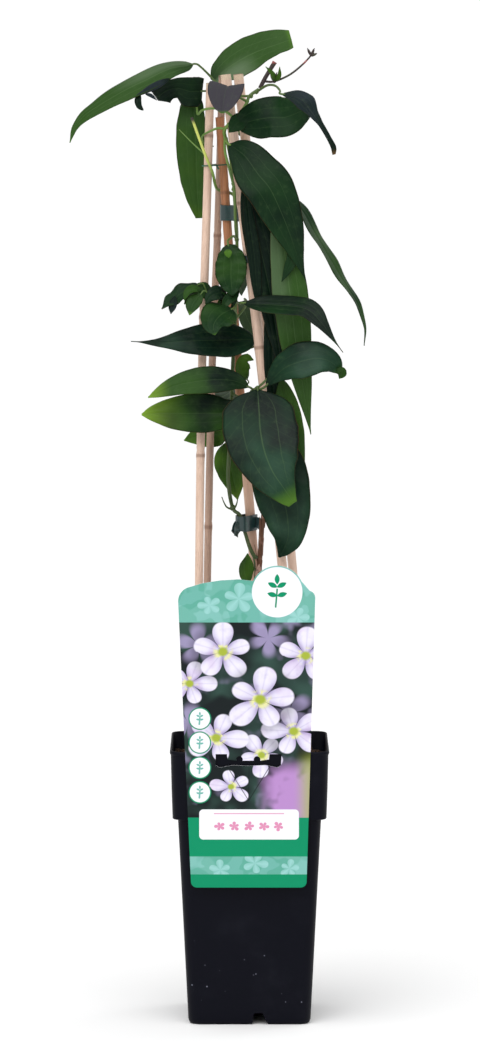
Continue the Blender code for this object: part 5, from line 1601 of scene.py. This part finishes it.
def slot_outline():
    """The hanging slot: a sagging bar with a raised tab at each end and two half-round holes."""
    return (
        [(-25.5, 200.5), (-25.5, 208.7), (-17, 208.7), (-16.5, 204.6), (-10.3, 203.7)]
        + arc((-7.6, 204.6), 2.5, 200, -20, 12)
        + arc((5.6, 204.6), 2.5, 200, -20, 12)
        + [(14.5, 204.6), (15, 208.7), (24, 208.7), (23.5, 200), (21, 198.5), (12, 200.3),
           (0, 199.8), (-12, 200.3), (-22.5, 198.5)]
    )


def plate(name, outline, back, front, materials):
    """An upright plate of one outline, given as (x, z) points, between two depths."""
    bm = bmesh.new()
    near = [bm.verts.new(mm((x, front, z))) for x, z in outline]
    far = [bm.verts.new(mm((x, back, z))) for x, z in outline]
    skin(bm, near, far)
    bm.faces.new(near)
    bm.faces.new(far[::-1])
    bmesh.ops.recalc_face_normals(bm, faces=bm.faces)
    return new_object(name, bm, materials)


class MakeLabel(bpy.types.Operator):
    """Make the printed hang label with its slot, and the strip that hooks over the rim"""

    bl_idname = "clematis.label"
    bl_label = "Hang label"

    def execute(self, context):
        label = context.scene.clematis_label
        front, back = label_finish(label), label_back_finish(label)
        thick = LABEL_THICKNESS
        tag = plate("label_sheet", label_outline(), LABEL_FRONT, LABEL_FRONT - thick, [front, back])
        slot = plate("slot", slot_outline(), LABEL_FRONT + 4, LABEL_FRONT - 4, [])
        cut(tag, [slot])
        for face in tag.data.polygons:
            face.material_index = 0 if face.normal.y < -0.5 else 1
            face.use_smooth = False
        settle(tag, "label_card", "label")

        over = RIM_HEIGHT + 0.4
        hook = ((LABEL_FRONT - thick / 2, over), (LABEL_FRONT + 2.4, over),
                (LABEL_FRONT + 2.4, SOIL_HEIGHT + 5), (LABEL_FRONT + 3.2, SOIL_HEIGHT + 5),
                (LABEL_FRONT + 3.2, over + thick), (LABEL_FRONT - thick / 2, over + thick))
        rings = [[(x, y, z) for y, z in hook] for x in (-HOOK_HALF, HOOK_HALF)]
        strip = loft("label_hook", rings, [back])
        sharpen(strip)
        settle(strip, "label_card")
        return {"FINISHED"}


def soil_finish(pot):
    """Damp peat compost: dark crumbs with dry fibres."""
    shade = Shade("compost")
    place = shade.place()
    crumbs = shade.cells(place, 420.0)
    grain = shade.noise(place, 300.0, 6.0, 0.7)
    fibres = shade.noise(shade.stretched(place, (1.0, 0.15, 1.0)), 1300.0, 3.0, 0.7)
    tint = shade.mix(grain.rise(0.45, 0.75), pot.soil, pot.soil_light)
    tint = shade.mix(fibres.rise(0.62, 0.72) * 0.8, tint, pot.soil_light)
    return shade.finish(tint, 0.93, grain + crumbs, 0.002, 0.9, Specular_IOR_Level=0.25)


def soil_height(x, y):
    """The soil's uneven height at a place, in millimetres."""
    broad = math.sin(x * 0.13 + 1.1) * math.cos(y * 0.17) + math.sin(x * 0.31 - y * 0.23)
    point = Vector((x, y, 0))
    return SOIL_HEIGHT + SOIL_LUMP * broad + 0.8 * noise.noise(point * 0.35)


def pot_half(height):
    """Half the pot's outer width at a height on its tapering body."""
    return BASE_HALF + (BODY_TOP_HALF - BASE_HALF) * height / COLLAR_FOOT


class MakeSoil(bpy.types.Operator):
    """Fill the pot with compost, and strew crumbs and fibres on it"""

    bl_idname = "clematis.soil"
    bl_label = "Soil"

    def execute(self, context):
        pot = context.scene.clematis_pot
        earth = soil_finish(pot)
        edge = COLLAR_FOOT_HALF - POT_WALL - SOIL_CLEARANCE
        sections = ((pot_half(FLOOR_TOP) - POT_WALL - SOIL_CLEARANCE, FLOOR_TOP + SOIL_CLEARANCE),
                    (BODY_TOP_HALF - POT_WALL - SOIL_CLEARANCE, COLLAR_FOOT - 2),
                    (edge, COLLAR_FOOT + 2 + SOIL_CLEARANCE))
        rings = [[(x, y, height) for x, y in rounded_square(half, POT_CORNER - 1)]
                 for half, height in sections]
        for step in range(SOIL_RINGS):
            half = (edge + 1) * (1 - step / SOIL_RINGS)
            corner = min(POT_CORNER - 1 + step, half * 0.9)
            rings.append([(x, y, soil_height(x, y)) for x, y in rounded_square(half, corner)])
        settle(loft("compost", rings, [earth]), "soil", "soil")

        draw = random.Random(21)
        bm = bmesh.new()
        for _ in range(pot.crumbs):
            x, y = draw.uniform(-edge + 3, edge - 3), draw.uniform(-edge + 3, edge - 3)
            reach = draw.uniform(0.5, 1.9) ** 1.3
            spot = mm((x, y, soil_height(x, y) + reach * 0.2))
            flat = Matrix.Diagonal((draw.uniform(0.8, 1.6), 1.0, draw.uniform(0.5, 0.9), 1.0))
            turn = Matrix.Rotation(draw.uniform(0, math.tau), 4, "Z")
            made = bmesh.ops.create_icosphere(bm, subdivisions=2, radius=reach * MM,
                                              matrix=Matrix.Translation(spot) @ turn @ flat)
            for vert in made["verts"]:
                vert.co = spot + (vert.co - spot) * (1 + wobble(vert.co, 700.0, 0.5))
        settle(new_object("compost_crumbs", bm, [earth]), "soil")
        return {"FINISHED"}


def pot_finish(pot):
    """Black moulded plastic: fine grain, faint scratches, dust and pale specks."""
    shade = Shade("pot_skin")
    place = shade.place()
    height = shade.axes(place)[2]
    grain = shade.noise(place, 1500.0, 2.0)
    cloud = shade.noise(place, 26.0, 4.0, 0.6)
    scratches = shade.noise(shade.stretched(place, (1.0, 1.0, 0.06)), 900.0, 2.0)
    speck = shade.cells(place, 130.0).rise(0.1, 0.035)
    sparse = shade.noise(place, 31.0, 1.0).rise(0.52, 0.62) * height.rise(0.12, 0.03)
    dust = cloud.rise(0.5, 0.85) * 0.025 + speck * sparse
    tint = shade.mix(dust, pot.plastic, pot.dust)
    rough = cloud * 0.2 + scratches * 0.12 + 0.3
    return shade.finish(tint, rough, grain * 0.5 + scratches, 0.00008, 0.4,
                        Specular_IOR_Level=0.08)


class MakePot(bpy.types.Operator):
    """Make the square pot with its collar, rolled rim, raised floor and foot notches"""

    bl_idname = "clematis.pot"
    bl_label = "Pot"

    def execute(self, context):
        pot = context.scene.clematis_pot
        inner_foot = BASE_HALF - 3.5
        inner_rim = RIM_HALF - POT_WALL
        sections = (
            (8, 8, FLOOR_UNDERSIDE), (inner_foot - 1.5, 7, FLOOR_UNDERSIDE),
            (inner_foot, 7, FLOOR_UNDERSIDE - 1.5), (inner_foot, 7, 0.4),
            (inner_foot + 0.4, 7, 0), (BASE_HALF - 2.4, 7, 0), (BASE_HALF - 1.2, 8, 0.4),
            (BASE_HALF - 0.5, 8.5, 1.4), (pot_half(3.5), 9, 3.5), (pot_half(8), 9, 8),
            (pot_half(60), 9, 60), (pot_half(110), 9, 110), (pot_half(150), 9, 150),
            (BODY_TOP_HALF, 9, COLLAR_FOOT - 0.5), (BODY_TOP_HALF + 0.4, 9, COLLAR_FOOT),
            (COLLAR_FOOT_HALF - 0.5, 9, COLLAR_FOOT), (COLLAR_FOOT_HALF, 9, COLLAR_FOOT + 0.5),
            (COLLAR_FOOT_HALF + 0.7, 9, 180), (COLLAR_FOOT_HALF + 1.3, 9, RIM_HEIGHT - 3),
            (RIM_HALF - 0.25, 9, RIM_HEIGHT - 2.6), (RIM_HALF, 9, RIM_HEIGHT - 1.6),
            (RIM_HALF - 0.15, 9, RIM_HEIGHT - 0.6), (RIM_HALF - 0.6, 9, RIM_HEIGHT - 0.1),
            (inner_rim + 0.4, 9, RIM_HEIGHT), (inner_rim, 9, RIM_HEIGHT - 0.6),
            (COLLAR_FOOT_HALF - POT_WALL, 9, COLLAR_FOOT + 2),
            (BODY_TOP_HALF - POT_WALL, 9, COLLAR_FOOT - 2),
            (pot_half(FLOOR_TOP + 2) - POT_WALL, 8, FLOOR_TOP + 2),
            (pot_half(FLOOR_TOP) - POT_WALL - 2, 7, FLOOR_TOP), (8, 8, FLOOR_TOP),
        )
        rings = [[(x, y, height) for x, y in rounded_square(half, corner)]
                 for half, corner, height in sections]
        tub = loft("pot_tub", rings, [pot_finish(pot)])
        cutters = []
        for side in range(4):
            profile = ((NOTCH_FOOT[0], -1), (NOTCH_FOOT[1], -1), (NOTCH_FOOT[1] - 2.2, 2.5),
                       (NOTCH_TOP[1] + 1.2, 6.8), (NOTCH_TOP[1], NOTCH_HEIGHT),
                       (NOTCH_TOP[0], NOTCH_HEIGHT), (NOTCH_TOP[0] - 1.2, 6.8))
            reach = (BASE_HALF - 8, BASE_HALF + 3)
            notch = loft(f"notch_{side}", [[(x, -y, z) for x, z in profile] for y in reach], [])
            notch.data.transform(Matrix.Rotation(side * math.pi / 2, 4, "Z"))
            cutters.append(notch)
        cut(tub, cutters)
        tub.data.shade_smooth()
        sharpen(tub, 40)
        settle(tub, "pot_plastic", "pot")

        foot = [[(x, y, z) for x, y in arc((0, 0), radius, 0, 352.5, 47)]
                for radius, z in ((11.4, 0), (12, 0.6), (13.5, FLOOR_UNDERSIDE + 0.5))]
        middle = loft("pot_middle_foot", foot, [tub.data.materials[0]])
        sharpen(middle, 50)
        settle(middle, "pot_plastic")
        return {"FINISHED"}


def floor_finish(studio):
    shade = Shade("studio_floor")
    grain = shade.noise(shade.place(), 3.0, 2.0)
    tint = shade.mix(grain * 0.02, studio.floor, paint(*FLOOR_MOTTLE))
    return shade.finish(tint, 0.85, Specular_IOR_Level=0.2)


def add_lamp(name, kind, energy, place, width=None):
    """A lamp turned to the plant; an area lamp is a disc of a given width."""
    data = bpy.data.lights.new(name, kind)
    data.energy = energy
    if width:
        data.shape = "DISK"
        data.size = width
    lamp = bpy.data.objects.new(name, data)
    lamp.location = place
    aim = Vector(LAMP_TARGET) - Vector(place)
    lamp.rotation_euler = aim.to_track_quat("-Z", "Y").to_euler()
    bpy.context.scene.collection.objects.link(lamp)
    return lamp


class MakeStudio(bpy.types.Operator):
    """Set the camera, a pale floor and soft studio light"""

    bl_idname = "clematis.studio"
    bl_label = "Studio"

    def execute(self, context):
        studio = context.scene.clematis_studio
        bm = bmesh.new()
        bmesh.ops.create_grid(bm, x_segments=4, y_segments=4, size=FLOOR_SIZE)
        floor = new_object("studio_floor", bm, [floor_finish(studio)])

        world = bpy.data.worlds.new("studio_air")
        air = Shade("studio_air", world, "Background")
        height = air.axes(air.node("ShaderNodeTexCoord").outputs["Generated"])[2]
        glow = abs(height).rise(0.08, 0.01) * (studio.horizon - studio.sky) + studio.sky
        air.feed(air.shader.inputs["Strength"], glow)
        air.shader.inputs["Color"].default_value = (1.0, 1.0, 1.0, 1.0)
        context.scene.world = world

        sun = add_lamp("soft_sun", "SUN", studio.sun, (-0.5, -1.9, 3.2))
        sun.data.angle = math.radians(70)
        add_lamp("key", "AREA", studio.key, (-1.1, -2.4, 1.9), 1.6)
        add_lamp("rim", "AREA", studio.rim, (1.7, 1.2, 1.9), 1.2)

        data = bpy.data.cameras.new("camera")
        data.lens = studio.lens
        data.sensor_width = 36.0
        data.clip_end = 1000.0
        camera = bpy.data.objects.new("camera", data)
        camera.location = (studio.aside, -studio.distance, studio.height)
        camera.rotation_euler = (math.pi / 2 - studio.pitch, 0, 0)
        context.scene.collection.objects.link(camera)
        context.scene.camera = camera
        context.scene.view_settings.view_transform = "Standard"
        return {"FINISHED"}


class ClematisPanel(bpy.types.Panel):
    """Lists the plant's builders in the 3D view's sidebar."""

    bl_idname = "VIEW3D_PT_clematis"
    bl_label = "Potted clematis"
    bl_space_type = "VIEW_3D"
    bl_region_type = "UI"
    bl_category = "Clematis"

    def draw(self, context):
        for maker in MAKERS:
            self.layout.operator(maker.bl_idname)
        for name, group in SETTINGS.items():
            box = self.layout.box()
            box.label(text=group.__doc__)
            for key in group.__annotations__:
                box.prop(getattr(context.scene, name), key)


MAKERS = (MakeStudio, MakePot, MakeSoil, MakeLabel, MakeCanes, MakeTies, MakeWoodyStem,
          MakeStems, MakeTopShoot, MakeLeaves)


def register():
    for group in (*SETTINGS.values(), *MAKERS, ClematisPanel):
        bpy.utils.register_class(group)
    for name, group in SETTINGS.items():
        setattr(bpy.types.Scene, name, PointerProperty(type=group))


def unregister():
    for name in SETTINGS:
        delattr(bpy.types.Scene, name)
    for group in reversed((*SETTINGS.values(), *MAKERS, ClematisPanel)):
        bpy.utils.unregister_class(group)


def main():
    register()
    for maker in MAKERS:
        family, action = maker.bl_idname.split(".")
        getattr(getattr(bpy.ops, family), action)()


if __name__ == "__main__":
    main()
